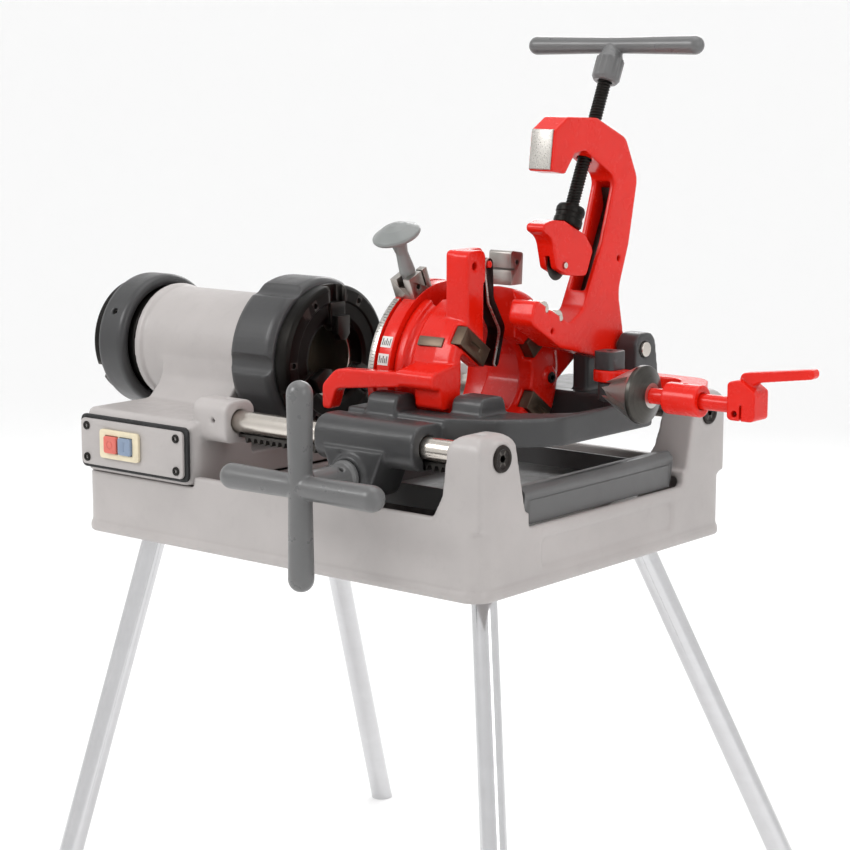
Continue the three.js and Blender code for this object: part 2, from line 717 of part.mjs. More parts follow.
// The cam plate turns against the die head's back and drives the chasers in and out.
const knobTurn = [CAM.knobAngle, 0, 0];
function camPlate() {
  const { x0, x1, r } = CAM;
  const disc = turned("x", [
    [x0, CAM.bore],
    [x0, r - 4],
    [x0 + 8, r],
    [x0 + 12, r],
    [x0 + 12, r - 7],
    [x0 + 17, r - 7],
    [x0 + 17, r - 2],
    [x1, r - 2],
    [x1, CAM.bore],
    [x0, CAM.bore],
  ], 28);
  const clamp = block([x0 + 2, x1 - 1], [-19, 19], [r - 16, r + 26]).rotate(knobTurn);
  return join(disc, clamp);
}
piece("cam_plate", camPlate(), red, dieHead);
const camMiddle = (CAM.x0 + CAM.x1) / 2;
piece(
  "cam_knob",
  turned("z", [
    [CAM.r + 26.4, 0],
    [CAM.r + 26.4, 11],
    [CAM.r + 60, 8],
    [CAM.r + 74, 12],
    [CAM.r + 80, 32],
    [CAM.r + 86, 31],
    [CAM.r + 95, 14],
    [CAM.r + 97, 0],
  ], 16)
    .translate([camMiddle, 0, 0])
    .rotate(knobTurn),
  grey,
  dieHead,
);
const tripLever = plate("x", [EAR.x[0] + 1.4, EAR.x[1] - 4], [
  [-45, 150, 8],
  [-38, 162, 6],
  [-24, 158, 6],
  [-22, 108],
  [3, 68, 6],
  [-12, 18, 5],
  [-26, 18, 5],
  [-12, 64, 8],
  [-37, 102, 6],
]);
piece("trip_lever", cut(tripLever, bar("x", 5.4, [150, 220], [EAR.y, EAR.z], 16)), black, dieHead);
const stopBlock = plate("x", [168, 204], [[17, DIE.r + 0.5], [41, DIE.r + 0.5], [43, 162, 4], [17, 166, 4]]);
piece("stop_block", stopBlock, steel, dieHead);

// ---- pipe cutter: drawn about the pipe's seat, with Z along the feed screw ---------------------------
const cutter = place(CUTTER.x, CUTTER.seatY, CUTTER.seatZ, -CUTTER.lean);
const lean = THREE.MathUtils.degToRad(CUTTER.lean);
const fromSeat = [PIVOT.y - CUTTER.seatY, PIVOT.z - CUTTER.seatZ];
const knuckle = [
  fromSeat[0] * Math.cos(lean) - fromSeat[1] * Math.sin(lean),
  fromSeat[0] * Math.sin(lean) + fromSeat[1] * Math.cos(lean),
];
const ROLLERS = [-17, 17];
const ROLLER = { z: -30, r: 11 };
const WHEEL_Z = 36;

function cutterFrame() {
  const t = CUTTER.half;
  const full = [-t, t];
  const [ky, kz] = knuckle;
  let body = join(
    plate("x", full, [
      [-84, 132, 3],
      [-99, 182, 5],
      [-80, 208, 10],
      [-20, 232, 14],
      [52, 234, 18],
      [100, 196, 20],
      [118, 110, 30],
      [122, 44, 30],
      [ky - 4, kz + 20, 20],
      [ky, kz - 20],
      [30, -66, 14],
      [-46, -58, 12],
      [-48, -26, 6],
      [36, -30, 8],
      [56, -6, 14],
      [61, 90, 30],
      [52, 178, 14],
      [-26, 184, 8],
      [-46, 172, 4],
      [-55, 140, 3],
    ]),
    bar("x", 20, full, knuckle),
  );
  body = cut(
    body,
    bar("x", PIVOT.r + 0.4, [-t - 1, t + 1], knuckle, 16),
    bar("z", CUTTER.screwR + 0.4, [170, 270], [0, 0], 16),
    block([-12.4, 12.4], [-34, 34], [ROLLER.z - 14, 0]),
    ...ROLLERS.map((y) => bar("x", 4.4, [-t - 1, t + 1], [y, ROLLER.z], 12)),
  );
  return body;
}
piece("cutter_frame", cutterFrame(), red, cutter);
ROLLERS.forEach((y, i) => {
  const made = join(
    bar("x", ROLLER.r, [-12, 12], [y, ROLLER.z], 16),
    bar("x", 4, [-17, 17], [y, ROLLER.z], 12),
  );
  piece("cutter_roller_" + (i + 1), made, steel, cutter);
});

const slider = cut(
  plate("x", [-14, 14], [
    [-74, 60, 4],
    [-48, 80, 16],
    [-24, 88],
    [26, 88],
    [51, 76, 6],
    [51, 40, 6],
    [30, 32, 8],
    [10, 26, 4],
    [-14, 26, 6],
    [-40, 58, 16],
  ]),
  block([-3.4, 3.4], [-24, 24], [10, WHEEL_Z + 23]),
  bar("x", 4.3, [-20, 20], [0, WHEEL_Z], 12),
);
piece("cutter_slider", slider, red, cutter);
piece("cutter_wheel", cut(
  turned("x", [[-3, 0], [-3, 10], [-1.5, 12], [-0.6, 20], [0.6, 20], [1.5, 12], [3, 10], [3, 0]], 16),
  bar("x", 4.3, [-4, 4], [0, 0], 12),
).translate([0, 0, WHEEL_Z]), steel, cutter);
piece("wheel_pin", bar("x", 4, [-16, 16], [0, WHEEL_Z], 12), steel, cutter);
piece("feed_screw", turned("z", [
  [88.3, 0],
  [88.3, 17],
  [92, 19],
  [112, 19],
  [116, 17],
  [116, CUTTER.screwR],
  [CUTTER.handle - 38, CUTTER.screwR],
  [CUTTER.handle - 38, 0],
], 16), black, cutter);
const handleBar = new THREE.CapsuleGeometry(12, 250, 3, 10);
handleBar.rotateZ(Math.PI / 2).translate(0, 0, CUTTER.handle);
piece("t_handle", cut(
  join(
    solid(handleBar),
    turned("z", [
      [CUTTER.handle - 52, 0],
      [CUTTER.handle - 52, 16],
      [CUTTER.handle - 46, 19],
      [CUTTER.handle - 20, 17],
      [CUTTER.handle, 11],
      [CUTTER.handle, 0],
    ], 16),
  ),
  bar("z", CUTTER.screwR + GAP, [CUTTER.handle - 60, CUTTER.handle - 37]),
), grey, cutter);

// ---- reamer ---------------------------------------------------------------------------------------
const armZ = [236.4, 252];
const sleeveMiddle = (REAMER.sleeve[0] + REAMER.sleeve[1]) / 2;
const reamerArm = cut(
  join(
    bar("z", 21, [armZ[0], armZ[1]], [REAMER.postX, REAMER.postY]),
    plate("z", armZ, [
      [REAMER.postX, REAMER.postY - 13],
      [440, REAMER.postY - 15, 16],
      [REAMER.sleeve[0] + 4, SPINDLE.y + 12],
      [REAMER.sleeve[1] - 4, SPINDLE.y + 12],
      [464, REAMER.postY + 9, 20],
      [REAMER.postX, REAMER.postY + 13],
    ]),
    bar("x", 20, REAMER.sleeve, axis),
  ),
  bar("x", REAMER.bar + 0.4, [440, 540], axis, 16),
  bar("z", 8.4, [230, 270], [REAMER.postX, REAMER.postY], 16),
);
piece("reamer_arm", reamerArm, red);
piece("reamer_cap", cut(
  plate("z", [armZ[1] + GAP, 276], rectangle(-16, 16, -16, 16, 7)).translate([REAMER.postX, REAMER.postY, 0]),
  bar("z", 8.4, [240, 266], [REAMER.postX, REAMER.postY], 16),
), grey);
piece("reamer_cone", cut(
  turned("x", [
    [REAMER.tip, 0],
    [REAMER.tip + 1, 3],
    [REAMER.rim - 16, REAMER.r],
    [REAMER.rim - 10, REAMER.r],
    [REAMER.rim, 16],
    [REAMER.rim, 0],
  ], 16),
  bar("x", REAMER.bar + GAP, [REAMER.rim - 26, REAMER.rim + 1], [0, 0], 16),
), black, place(0, ...axis));
piece("reamer_bar", join(
  bar("x", REAMER.bar, [REAMER.rim - 25, 566], [0, 0], 16),
  plate("y", [-17, 17], [[556, -16, 6], [594, -16, 6], [594, 20, 6], [572, 34, 6], [556, 30, 6]]),
  plate("y", [-7, 7], [[568, 12], [568, 41, 6], [REAMER.end, 54, 5], [REAMER.end, 42, 5], [592, 31]]),
), red, place(0, ...axis));

// ---- chip tray --------------------------------------------------------------------------------------
const { x0: trayX0, x1: trayX1, y: trayY, z0: trayZ0, z1: trayZ1, wall: trayWall } = TRAY;
piece("chip_tray", cut(
  join(
    plate("z", [trayZ0, trayZ1], rectangle(trayX0, trayX1, -trayY, trayY, 10)),
    plate("y", [-trayY, trayY], [
      [trayX1 - 30, trayZ0 + 4],
      [trayX1 - 4, trayZ0 + 4],
      [trayX1, TRAY.front - 8],
      [trayX1 - 8, TRAY.front],
      [trayX1 - 30, TRAY.front - 4],
    ]),
  ),
  plate("z", [trayZ0 + trayWall, trayZ1 + 1],
    rectangle(trayX0 + trayWall, trayX1 - 30, -trayY + trayWall, trayY - trayWall, 8)),
), grey);

export default machine;
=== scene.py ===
# The looks of a pipe threading machine on four tube legs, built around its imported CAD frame.
import json
import math

import bmesh
import bpy
from mathutils import Matrix, Vector


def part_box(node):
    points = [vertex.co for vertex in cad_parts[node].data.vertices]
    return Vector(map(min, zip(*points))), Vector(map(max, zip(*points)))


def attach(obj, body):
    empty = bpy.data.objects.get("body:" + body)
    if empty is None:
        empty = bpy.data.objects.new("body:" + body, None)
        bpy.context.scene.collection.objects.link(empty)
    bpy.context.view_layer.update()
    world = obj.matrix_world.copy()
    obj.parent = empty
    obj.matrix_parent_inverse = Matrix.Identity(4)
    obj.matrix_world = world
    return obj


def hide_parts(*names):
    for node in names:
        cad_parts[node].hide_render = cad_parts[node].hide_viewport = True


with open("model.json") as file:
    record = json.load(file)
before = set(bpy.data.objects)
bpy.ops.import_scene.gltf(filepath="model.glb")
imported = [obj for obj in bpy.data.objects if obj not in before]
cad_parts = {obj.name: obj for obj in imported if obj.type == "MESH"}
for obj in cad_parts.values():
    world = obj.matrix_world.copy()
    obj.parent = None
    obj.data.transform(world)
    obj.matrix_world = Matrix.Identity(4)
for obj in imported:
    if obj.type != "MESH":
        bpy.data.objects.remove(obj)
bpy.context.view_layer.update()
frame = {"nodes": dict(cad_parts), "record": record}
record = frame["record"]

# ---- the machine's own coordinates: millimetres, from the middle of the base's underside ----
MM = 0.001


def middle(node):
    low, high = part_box(node)
    return (low + high) / 2


SPINDLE_Y = -40
SPINDLE_Z = 238
ORIGIN = Vector((middle("base_casting").x, 0, middle("spindle_tube").z - SPINDLE_Z * MM))


def span(node):
    """A CAD node's box as three pairs, in the machine's own millimetres."""
    low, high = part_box(node)
    return [((low[i] - ORIGIN[i]) / MM, (high[i] - ORIGIN[i]) / MM) for i in range(3)]


def centre(node):
    return [sum(pair) / 2 for pair in span(node)]


AXIS = (SPINDLE_Y, SPINDLE_Z)
BASE_X, BASE_Y, BASE_ZS = span("base_casting")
RAIL_R = 15
RAIL_Y, RAIL_Z = centre("rear_rail")[1:]
LEG_DROP = ORIGIN.z / MM
FEED_X, _, FEED_Z = centre("feed_pinion")
PIVOT_Y, PIVOT_Z = centre("pivot_shaft")[1:]
COARSE = 1.0
SIDES = (-1, 1)
GAP = 0.6
SPINDLE_R = 55
BEARING_R = 66
PIVOT_R = 10
FEED_SHAFT_R = 8
LEG_R = 16.7


# ---- shapes: closed meshes in millimetres ----
def shape(points, faces):
    mesh = bpy.data.meshes.new("shape")
    mesh.from_pydata([tuple(p) for p in points], [], faces)
    work = bmesh.new()
    work.from_mesh(mesh)
    bmesh.ops.recalc_face_normals(work, faces=work.faces)
    work.to_mesh(mesh)
    work.free()
    return mesh


def turn_axis(axis):
    """Takes a shape drawn in XY and raised along Z to one that is raised along the named axis."""
    rows = {
        "x": ((0, 0, 1), (1, 0, 0), (0, 1, 0)),
        "y": ((0, 1, 0), (0, 0, 1), (1, 0, 0)),
        "z": ((1, 0, 0), (0, 1, 0), (0, 0, 1)),
    }
    return Matrix(rows[axis])


def arc(corner, before, after, radius, steps):
    """The points that round one corner of an outline."""
    u = (before - corner).normalized()
    v = (after - corner).normalized()
    opening = u.angle(v)
    if radius <= 0 or opening > math.pi - 0.02:
        return [corner]
    reach = min(
        radius / math.tan(opening / 2),
        0.46 * (before - corner).length,
        0.46 * (after - corner).length,
    )
    radius = reach * math.tan(opening / 2)
    middle_point = corner + (u + v).normalized() * radius / math.sin(opening / 2)
    start = corner + u * reach - middle_point
    end = corner + v * reach - middle_point
    turn = math.atan2(start.x * end.y - start.y * end.x, start.dot(end))
    points = []
    for i in range(steps + 1):
        points.append(middle_point + Matrix.Rotation(turn * i / steps, 2) @ start)
    return points


def rounded(corners, steps=6, closed=True):
    """An outline from corners (a, b) or (a, b, radius)."""
    places = [Vector(c[:2]) for c in corners]
    points = []
    for i, c in enumerate(corners):
        radius = c[2] if len(c) > 2 else 0
        if not closed and i in (0, len(corners) - 1):
            radius = 0
        after = places[(i + 1) % len(corners)]
        points += arc(places[i], places[i - 1], after, radius, steps)
    return points


def prism(axis, ends, corners, steps=6):
    """A plate with the outline in YZ (axis x), XZ (axis y) or XY (axis z)."""
    drawn = [(c[1], c[0], *c[2:]) for c in corners] if axis == "y" else corners
    line = rounded(drawn, steps)
    n = len(line)
    turn = turn_axis(axis)
    points = [turn @ Vector((p.x, p.y, end)) for end in ends for p in line]
    faces = [list(range(n)), list(range(2 * n - 1, n - 1, -1))]
    faces += [(i, n + i, n + (i + 1) % n, (i + 1) % n) for i in range(n)]
    return shape(points, faces)


def rectangle(a0, a1, b0, b1, r=0):
    return [(a0, b0, r), (a1, b0, r), (a1, b1, r), (a0, b1, r)]


def block(xs, ys, zs):
    return prism("z", zs, rectangle(*xs, *ys))


def lathe(axis, profile, at=(0, 0), sides=72, steps=4):
    """A turned piece from (place, radius, rounding) points, which end on the axis or close."""
    closed = profile[0][:2] == profile[-1][:2]
    corners = profile[:-1] if closed else profile
    line = rounded(corners, steps, closed)
    turn = turn_axis(axis)
    points = []
    rings = []
    for p in line:
        if p.y < 1e-6:
            rings.append([len(points)] * sides)
            points.append(Vector((0, 0, p.x)))
            continue
        rings.append(list(range(len(points), len(points) + sides)))
        for i in range(sides):
            a = 2 * math.pi * i / sides
            points.append(Vector((p.y * math.cos(a), p.y * math.sin(a), p.x)))
    faces = []
    pairs = list(zip(rings, rings[1:]))
    if closed:
        pairs.append((rings[-1], rings[0]))
    for here, there in pairs:
        for i in range(sides):
            j = (i + 1) % sides
            corners_of_face = list(dict.fromkeys([here[i], here[j], there[j], there[i]]))
            if len(corners_of_face) > 2:
                faces.append(corners_of_face)
    made = shape([turn @ p for p in points], faces)
    return moved(made, *off_axis(axis, at))


def off_axis(axis, at):
    return {"x": (0, *at), "y": (at[0], 0, at[1]), "z": (*at, 0)}[axis]


def bar(axis, r, ends, at=(0, 0), edge=0.0, sides=48):
    low, high = ends
    return lathe(axis, [(low, 0), (low, r, edge), (high, r, edge), (high, 0)], at, sides, 3)


def tube(axis, inner, outer, ends, at=(0, 0), edge=0.0, sides=72):
    low, high = ends
    around = [(low, inner, edge), (low, outer, edge), (high, outer, edge), (high, inner, edge)]
    return lathe(axis, around + around[:1], at, sides, 3)


def strut(p, q, r, sides=40):
    way = Vector(q) - Vector(p)
    made = bar("z", r, (0, way.length), sides=sides)
    turn = way.to_track_quat("Z", "Y").to_matrix().to_4x4()
    made.transform(Matrix.Translation(p) @ turn)
    return made


def moved(mesh, x, y, z):
    mesh.transform(Matrix.Translation((x, y, z)))
    return mesh


def on_axis(mesh):
    return moved(mesh, 0, *AXIS)


def spun(mesh, degrees, axis="X"):
    mesh.transform(Matrix.Rotation(math.radians(degrees), 4, axis))
    return mesh


def new_object(name, data):
    thing = bpy.data.objects.new(name, data)
    bpy.context.scene.collection.objects.link(thing)
    return thing


def applied(mesh, *modifiers):
    """The mesh after modifiers given as (kind, settings)."""
    thing = new_object("work", mesh)
    for kind, settings in modifiers:
        modifier = thing.modifiers.new(kind, kind)
        for key, value in settings.items():
            setattr(modifier, key, value)
    seen = thing.evaluated_get(bpy.context.evaluated_depsgraph_get())
    made = bpy.data.meshes.new_from_object(seen)
    bpy.data.objects.remove(thing)
    return made


def combined(first, others, operation):
    tools = [new_object("tool", other) for other in others]
    steps = [("BOOLEAN", {"operation": operation, "solver": "MANIFOLD", "object": t}) for t in tools]
    made = applied(first, *steps)
    for tool in tools:
        bpy.data.objects.remove(tool)
    return made


def joined(first, *others):
    return combined(first, others, "UNION")


def cut(first, *others):
    return combined(first, others, "DIFFERENCE")


def both(first, other):
    return combined(first, [other], "INTERSECT")


def beside(*meshes):
    """Several shapes in one mesh, left as separate bodies."""
    work = bmesh.new()
    for mesh in meshes:
        work.from_mesh(mesh)
    made = bpy.data.meshes.new("shape")
    work.to_mesh(made)
    work.free()
    return made


def cast(mesh, voxel, smooth=6, keep=1.0):
    """A casting: every edge and corner softened, inside and out."""
    steps = [
        ("REMESH", {"mode": "VOXEL", "voxel_size": voxel * COARSE}),
        ("SMOOTH", {"factor": 0.5, "iterations": max(2, round(smooth / COARSE))}),
    ]
    if keep < 1:
        steps.append(("DECIMATE", {"ratio": keep}))
    made = applied(mesh, *steps)
    made.shade_smooth()
    return made


def edged(mesh, width=0.8, segments=2, angle=32):
    """A machined piece: each sharp edge broken by a small bevel."""
    bevel = {
        "width": width,
        "segments": segments,
        "limit_method": "ANGLE",
        "angle_limit": math.radians(angle),
        "use_clamp_overlap": True,
        "miter_outer": "MITER_ARC",
    }
    return smooth_shaded(applied(mesh, ("BEVEL", bevel)))


def smooth_shaded(mesh, angle=38):
    mesh.shade_smooth()
    mesh.set_sharp_from_angle(angle=math.radians(angle))
    return mesh


# ---- materials ----
class Nodes:
    """A material's node tree, with short calls for the nodes that every finish here uses."""

    def __init__(self, name):
        self.material = bpy.data.materials.new(name)
        self.material.use_nodes = True
        self.tree = self.material.node_tree
        self.shader = self.tree.nodes["Principled BSDF"]
        self.place = self.tree.nodes.new("ShaderNodeTexCoord").outputs["Object"]
        self.edge = self.tree.nodes.new("ShaderNodeNewGeometry").outputs["Pointiness"]

    def link(self, source, target):
        self.tree.links.new(source, target)

    def use(self, source, socket):
        self.link(source, self.shader.inputs[socket])

    def noise(self, scale, detail=4.0, roughness=0.55, stretch=None):
        node = self.tree.nodes.new("ShaderNodeTexNoise")
        for key, value in {"Scale": scale, "Detail": detail, "Roughness": roughness}.items():
            node.inputs[key].default_value = value
        source = self.place
        if stretch:
            mapping = self.tree.nodes.new("ShaderNodeMapping")
            mapping.inputs["Scale"].default_value = stretch
            self.link(source, mapping.inputs["Vector"])
            source = mapping.outputs["Vector"]
        self.link(source, node.inputs["Vector"])
        return node.outputs["Fac"]

    def spread(self, source, low, high, to_low=0.0, to_high=1.0):
        node = self.tree.nodes.new("ShaderNodeMapRange")
        values = {"From Min": low, "From Max": high, "To Min": to_low, "To Max": to_high}
        for key, value in values.items():
            node.inputs[key].default_value = value
        self.link(source, node.inputs["Value"])
        return node.outputs["Result"]

    def maths(self, operation, a, b):
        node = self.tree.nodes.new("ShaderNodeMath")
        node.operation = operation
        node.use_clamp = True
        for socket, value in zip(node.inputs, (a, b)):
            if isinstance(value, (int, float)):
                socket.default_value = value
            else:
                self.link(value, socket)
        return node.outputs["Value"]

    def mix(self, factor, first, second):
        node = self.tree.nodes.new("ShaderNodeMix")
        node.data_type = "RGBA"
        self.link(factor, node.inputs["Factor"])
        for name, value in (("A", first), ("B", second)):
            socket = [s for s in node.inputs if s.name == name and s.type == "RGBA"][0]
            if isinstance(value, tuple):
                socket.default_value = (*value, 1)
            else:
                self.link(value, socket)
        return [s for s in node.outputs if s.type == "RGBA"][0]

    def bump(self, height, strength, distance, before=None):
        node = self.tree.nodes.new("ShaderNodeBump")
        node.inputs["Strength"].default_value = strength
        node.inputs["Distance"].default_value = distance
        self.link(height, node.inputs["Height"])
        if before:
            self.link(before, node.inputs["Normal"])
        return node.outputs["Normal"]

    def set(self, **sockets):
        for key, value in sockets.items():
            self.shader.inputs[key.replace("_", " ")].default_value = value


def shade(colour, by):
    return tuple(min(1.0, c * by) for c in colour)


def painted(name, colour, rough, coat, wear, wear_from, cast_bump=0.5, gloss=0.4):
    """Enamel over a casting: uneven tone, cast texture, orange peel, painted shade in the corners, worn
    edges.
    """
    m = Nodes(name)
    tone = m.spread(m.noise(7.0, 5.0), 0.3, 0.72)
    base = m.mix(tone, shade(colour, 0.9), shade(colour, 1.06))
    blotch = m.spread(m.noise(38.0, 6.0, 0.65), 0.56, 0.8, 0.0, 0.35)
    base = m.mix(blotch, base, shade(colour, 0.78))
    # Painted shade: concave corners and hollows (low pointiness) are darkened towards a deep tone of the
    # paint.
    corner = m.spread(m.edge, 0.38, 0.495, 0.75, 0.0)
    base = m.mix(corner, base, shade(colour, 0.36))
    ragged = m.spread(m.noise(140.0, 5.0, 0.7), 0.42, 0.62, 0.0, 0.06)
    edge = m.maths("ADD", m.edge, ragged)
    worn = m.spread(edge, wear_from, wear_from + 0.03, 0.0, 0.85)
    base = m.mix(worn, base, wear)
    m.use(base, "Base Color")
    sheen = m.spread(m.noise(60.0, 5.0, 0.6), 0.3, 0.75, rough - 0.07, rough + 0.1)
    m.use(sheen, "Roughness")
    skin = m.bump(m.noise(150.0, 4.0, 0.6), 0.35 * cast_bump, 0.0007)
    peel = m.bump(m.noise(900.0, 2.0), 0.12, 0.0003, skin)
    m.use(peel, "Normal")
    m.set(Metallic=0.0, Coat_Weight=coat, Coat_Roughness=0.1, Specular_IOR_Level=gloss)
    return m.material


def metal(name, colour, rough, stretch, wear=None, lines=0.25, stain=0.25, streak=0.2, uneven=0.12):
    """Machined steel: tool lines along one direction, oil stains and uneven sheen."""
    m = Nodes(name)
    scratch = m.noise(30.0, 6.0, 0.7, stretch)
    patches = m.spread(m.noise(26.0, 5.0, 0.6), 0.42, 0.78, 0.0, stain)
    tone = m.spread(scratch, 0.3, 0.7)
    base = m.mix(tone, shade(colour, 1 - streak), shade(colour, 1 + streak / 2))
    base = m.mix(patches, base, (colour[0] * 0.42, colour[1] * 0.36, colour[2] * 0.3))
    if wear:
        bright = m.spread(m.edge, 0.53, 0.58, 0.0, 0.9)
        base = m.mix(bright, base, wear)
    m.use(base, "Base Color")
    sheen = m.spread(m.noise(30.0, 5.0, 0.65, stretch), 0.25, 0.75, rough - uneven / 2, rough + uneven)
    m.use(sheen, "Roughness")
    m.use(m.bump(scratch, lines, 0.0002), "Normal")
    m.set(Metallic=1.0)
    return m.material


def moulded(name, colour, rough, grain=700.0):
    """Moulded plastic or rubber: a fine grained skin with a slightly uneven, handled sheen."""
    m = Nodes(name)
    tone = m.spread(m.noise(45.0, 5.0), 0.3, 0.7)
    base = m.mix(tone, shade(colour, 0.88), shade(colour, 1.05))
    # Painted shade: concave corners (low pointiness) are darkened towards a deep tone of the plastic.
    corner = m.spread(m.edge, 0.4, 0.495, 0.5, 0.0)
    m.use(m.mix(corner, base, shade(colour, 0.4)), "Base Color")
    sheen = m.spread(m.noise(90.0, 4.0), 0.3, 0.7, rough - 0.06, rough + 0.1)
    m.use(sheen, "Roughness")
    m.use(m.bump(m.noise(grain, 2.0), 0.18, 0.0002), "Normal")
    return m.material


LINES_ROUND_X = (26.0, 1.0, 1.0)
LINES_ROUND_Z = (1.0, 1.0, 26.0)
LINES_ALONG_X = (0.8, 14.0, 14.0)
LINES_ALONG_Y = (14.0, 0.8, 14.0)
LINES_ALONG_Z = (14.0, 14.0, 0.8)
PAINTED = {
    "paint_light": ((0.4, 0.374, 0.364), 0.42, 0.1, (0.26, 0.25, 0.24), 0.6),
    "paint_grey": ((0.042, 0.042, 0.043), 0.36, 0.1, (0.11, 0.11, 0.11), 0.58, 0.5, 0.35),
    "paint_red": ((0.66, 0.01, 0.003), 0.24, 0.12, (0.3, 0.02, 0.012), 0.6, 0.3, 0.24),
    "motor_paint": ((0.04, 0.055, 0.05), 0.45, 0.1, (0.12, 0.12, 0.11), 0.58),
    "handle_grey": ((0.115, 0.115, 0.115), 0.32, 0.2, (0.17, 0.17, 0.17), 0.58, 0.4),
    "knob_grey": ((0.2, 0.21, 0.205), 0.4, 0.1, (0.26, 0.27, 0.26), 0.6, 0.3),
}
METAL = {
    "leg_chrome": ((0.6, 0.6, 0.61), 0.15, (0.6, 0.6, 2.0), None, 0.03, 0.05, 0.04, 0.05),
    "rail_steel": ((0.6, 0.56, 0.51), 0.2, LINES_ROUND_X, None, 0.05, 0.14, 0.05, 0.07),
    "gear_steel": ((0.3, 0.29, 0.28), 0.34, LINES_ROUND_X, (0.45, 0.44, 0.42), 0.3, 0.4),
    "black_steel": ((0.016, 0.015, 0.014), 0.36, LINES_ROUND_X, (0.06, 0.056, 0.052), 0.2, 0.1),
    "tool_steel": ((0.1, 0.068, 0.046), 0.42, LINES_ALONG_X, (0.17, 0.13, 0.1), 0.3, 0.4),
    "bronze": ((0.42, 0.28, 0.13), 0.34, LINES_ROUND_X, None, 0.2, 0.3),
    "bright_steel": ((0.5, 0.48, 0.45), 0.26, LINES_ALONG_Y, None, 0.1, 0.2, 0.1),
    "clamp_steel": ((0.2, 0.17, 0.15), 0.3, LINES_ALONG_Y, (0.5, 0.48, 0.45), 0.15, 0.3),
    "cone_steel": ((0.07, 0.066, 0.06), 0.3, LINES_ROUND_X, (0.62, 0.6, 0.57), 0.15, 0.15),
    "stop_steel": ((0.22, 0.2, 0.185), 0.38, LINES_ALONG_Z, (0.5, 0.48, 0.45), 0.15, 0.15),
    "black_screw": ((0.02, 0.019, 0.018), 0.38, LINES_ROUND_Z, (0.09, 0.085, 0.08), 0.2, 0.15),
    "turned_black": ((0.035, 0.03, 0.028), 0.33, LINES_ROUND_Z, (0.13, 0.12, 0.11), 0.2, 0.2),
}
MOULDED = {
    "gasket_rubber": ((0.012, 0.012, 0.013), 0.7, 500.0),
    "switch_cream": ((0.68, 0.6, 0.43), 0.36),
    "button_red": ((0.6, 0.13, 0.1), 0.34),
    "button_blue": ((0.2, 0.26, 0.36), 0.34),
    "dial_white": ((0.66, 0.65, 0.62), 0.4, 900.0),
    "dial_ink": ((0.02, 0.02, 0.02), 0.5, 900.0),
}
FINISH = {}
for make, looks in ((painted, PAINTED), (metal, METAL), (moulded, MOULDED)):
    for name, look in looks.items():
        FINISH[name] = make(name, *look)

# ---- pieces ----
body_of = {n: body for body, nodes in record["behaviour"]["bodies"].items() for n in nodes}
slot_of = {part["node"]: part["material_slot"] for part in record["subparts"]}


def piece(name, mesh, node, stands=True, finish=None):
    """A finished piece that rides with a CAD node's body and hides the node it stands for."""
    mesh.transform(Matrix.Translation(ORIGIN) @ Matrix.Scale(MM, 4))
    mesh.name = name
    thing = new_object(name, mesh)
    mesh.materials.clear()
    mesh.materials.append(FINISH[finish or slot_of[node]])
    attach(thing, body_of[node])
    if stands:
        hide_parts(node)
    return thing


def paint_node(name, finish):
    """Gives a finish to a CAD node that is shown as it is."""
    materials = frame["nodes"][name].data.materials
    materials.clear()
    materials.append(FINISH[finish])


# ---- base and legs ----
HALF_L = (BASE_X[1] - BASE_X[0]) / 2
HALF_W = (BASE_Y[1] - BASE_Y[0]) / 2
POST_TOP = BASE_ZS[1]
RIM = 100
WALL = 12
FLOOR = 8
LEG_TURN = {"left": (-310, 0.07), "right": (277, -0.32)}
HEAD_END = -135


LEG_Y = 172
LEG_SPLAY = 0.335


def leg_line(end, side, z):
    """A point on a leg's axis: it splays outwards below the base."""
    start, lean = LEG_TURN[end]
    return (start + lean * z, side * (LEG_Y - LEG_SPLAY * z), z)


def leg_places():
    return [(end, side) for end in ("left", "right") for side in SIDES]


def leg_name(end, side):
    return f"leg_{'front' if side < 0 else 'back'}_{end}"


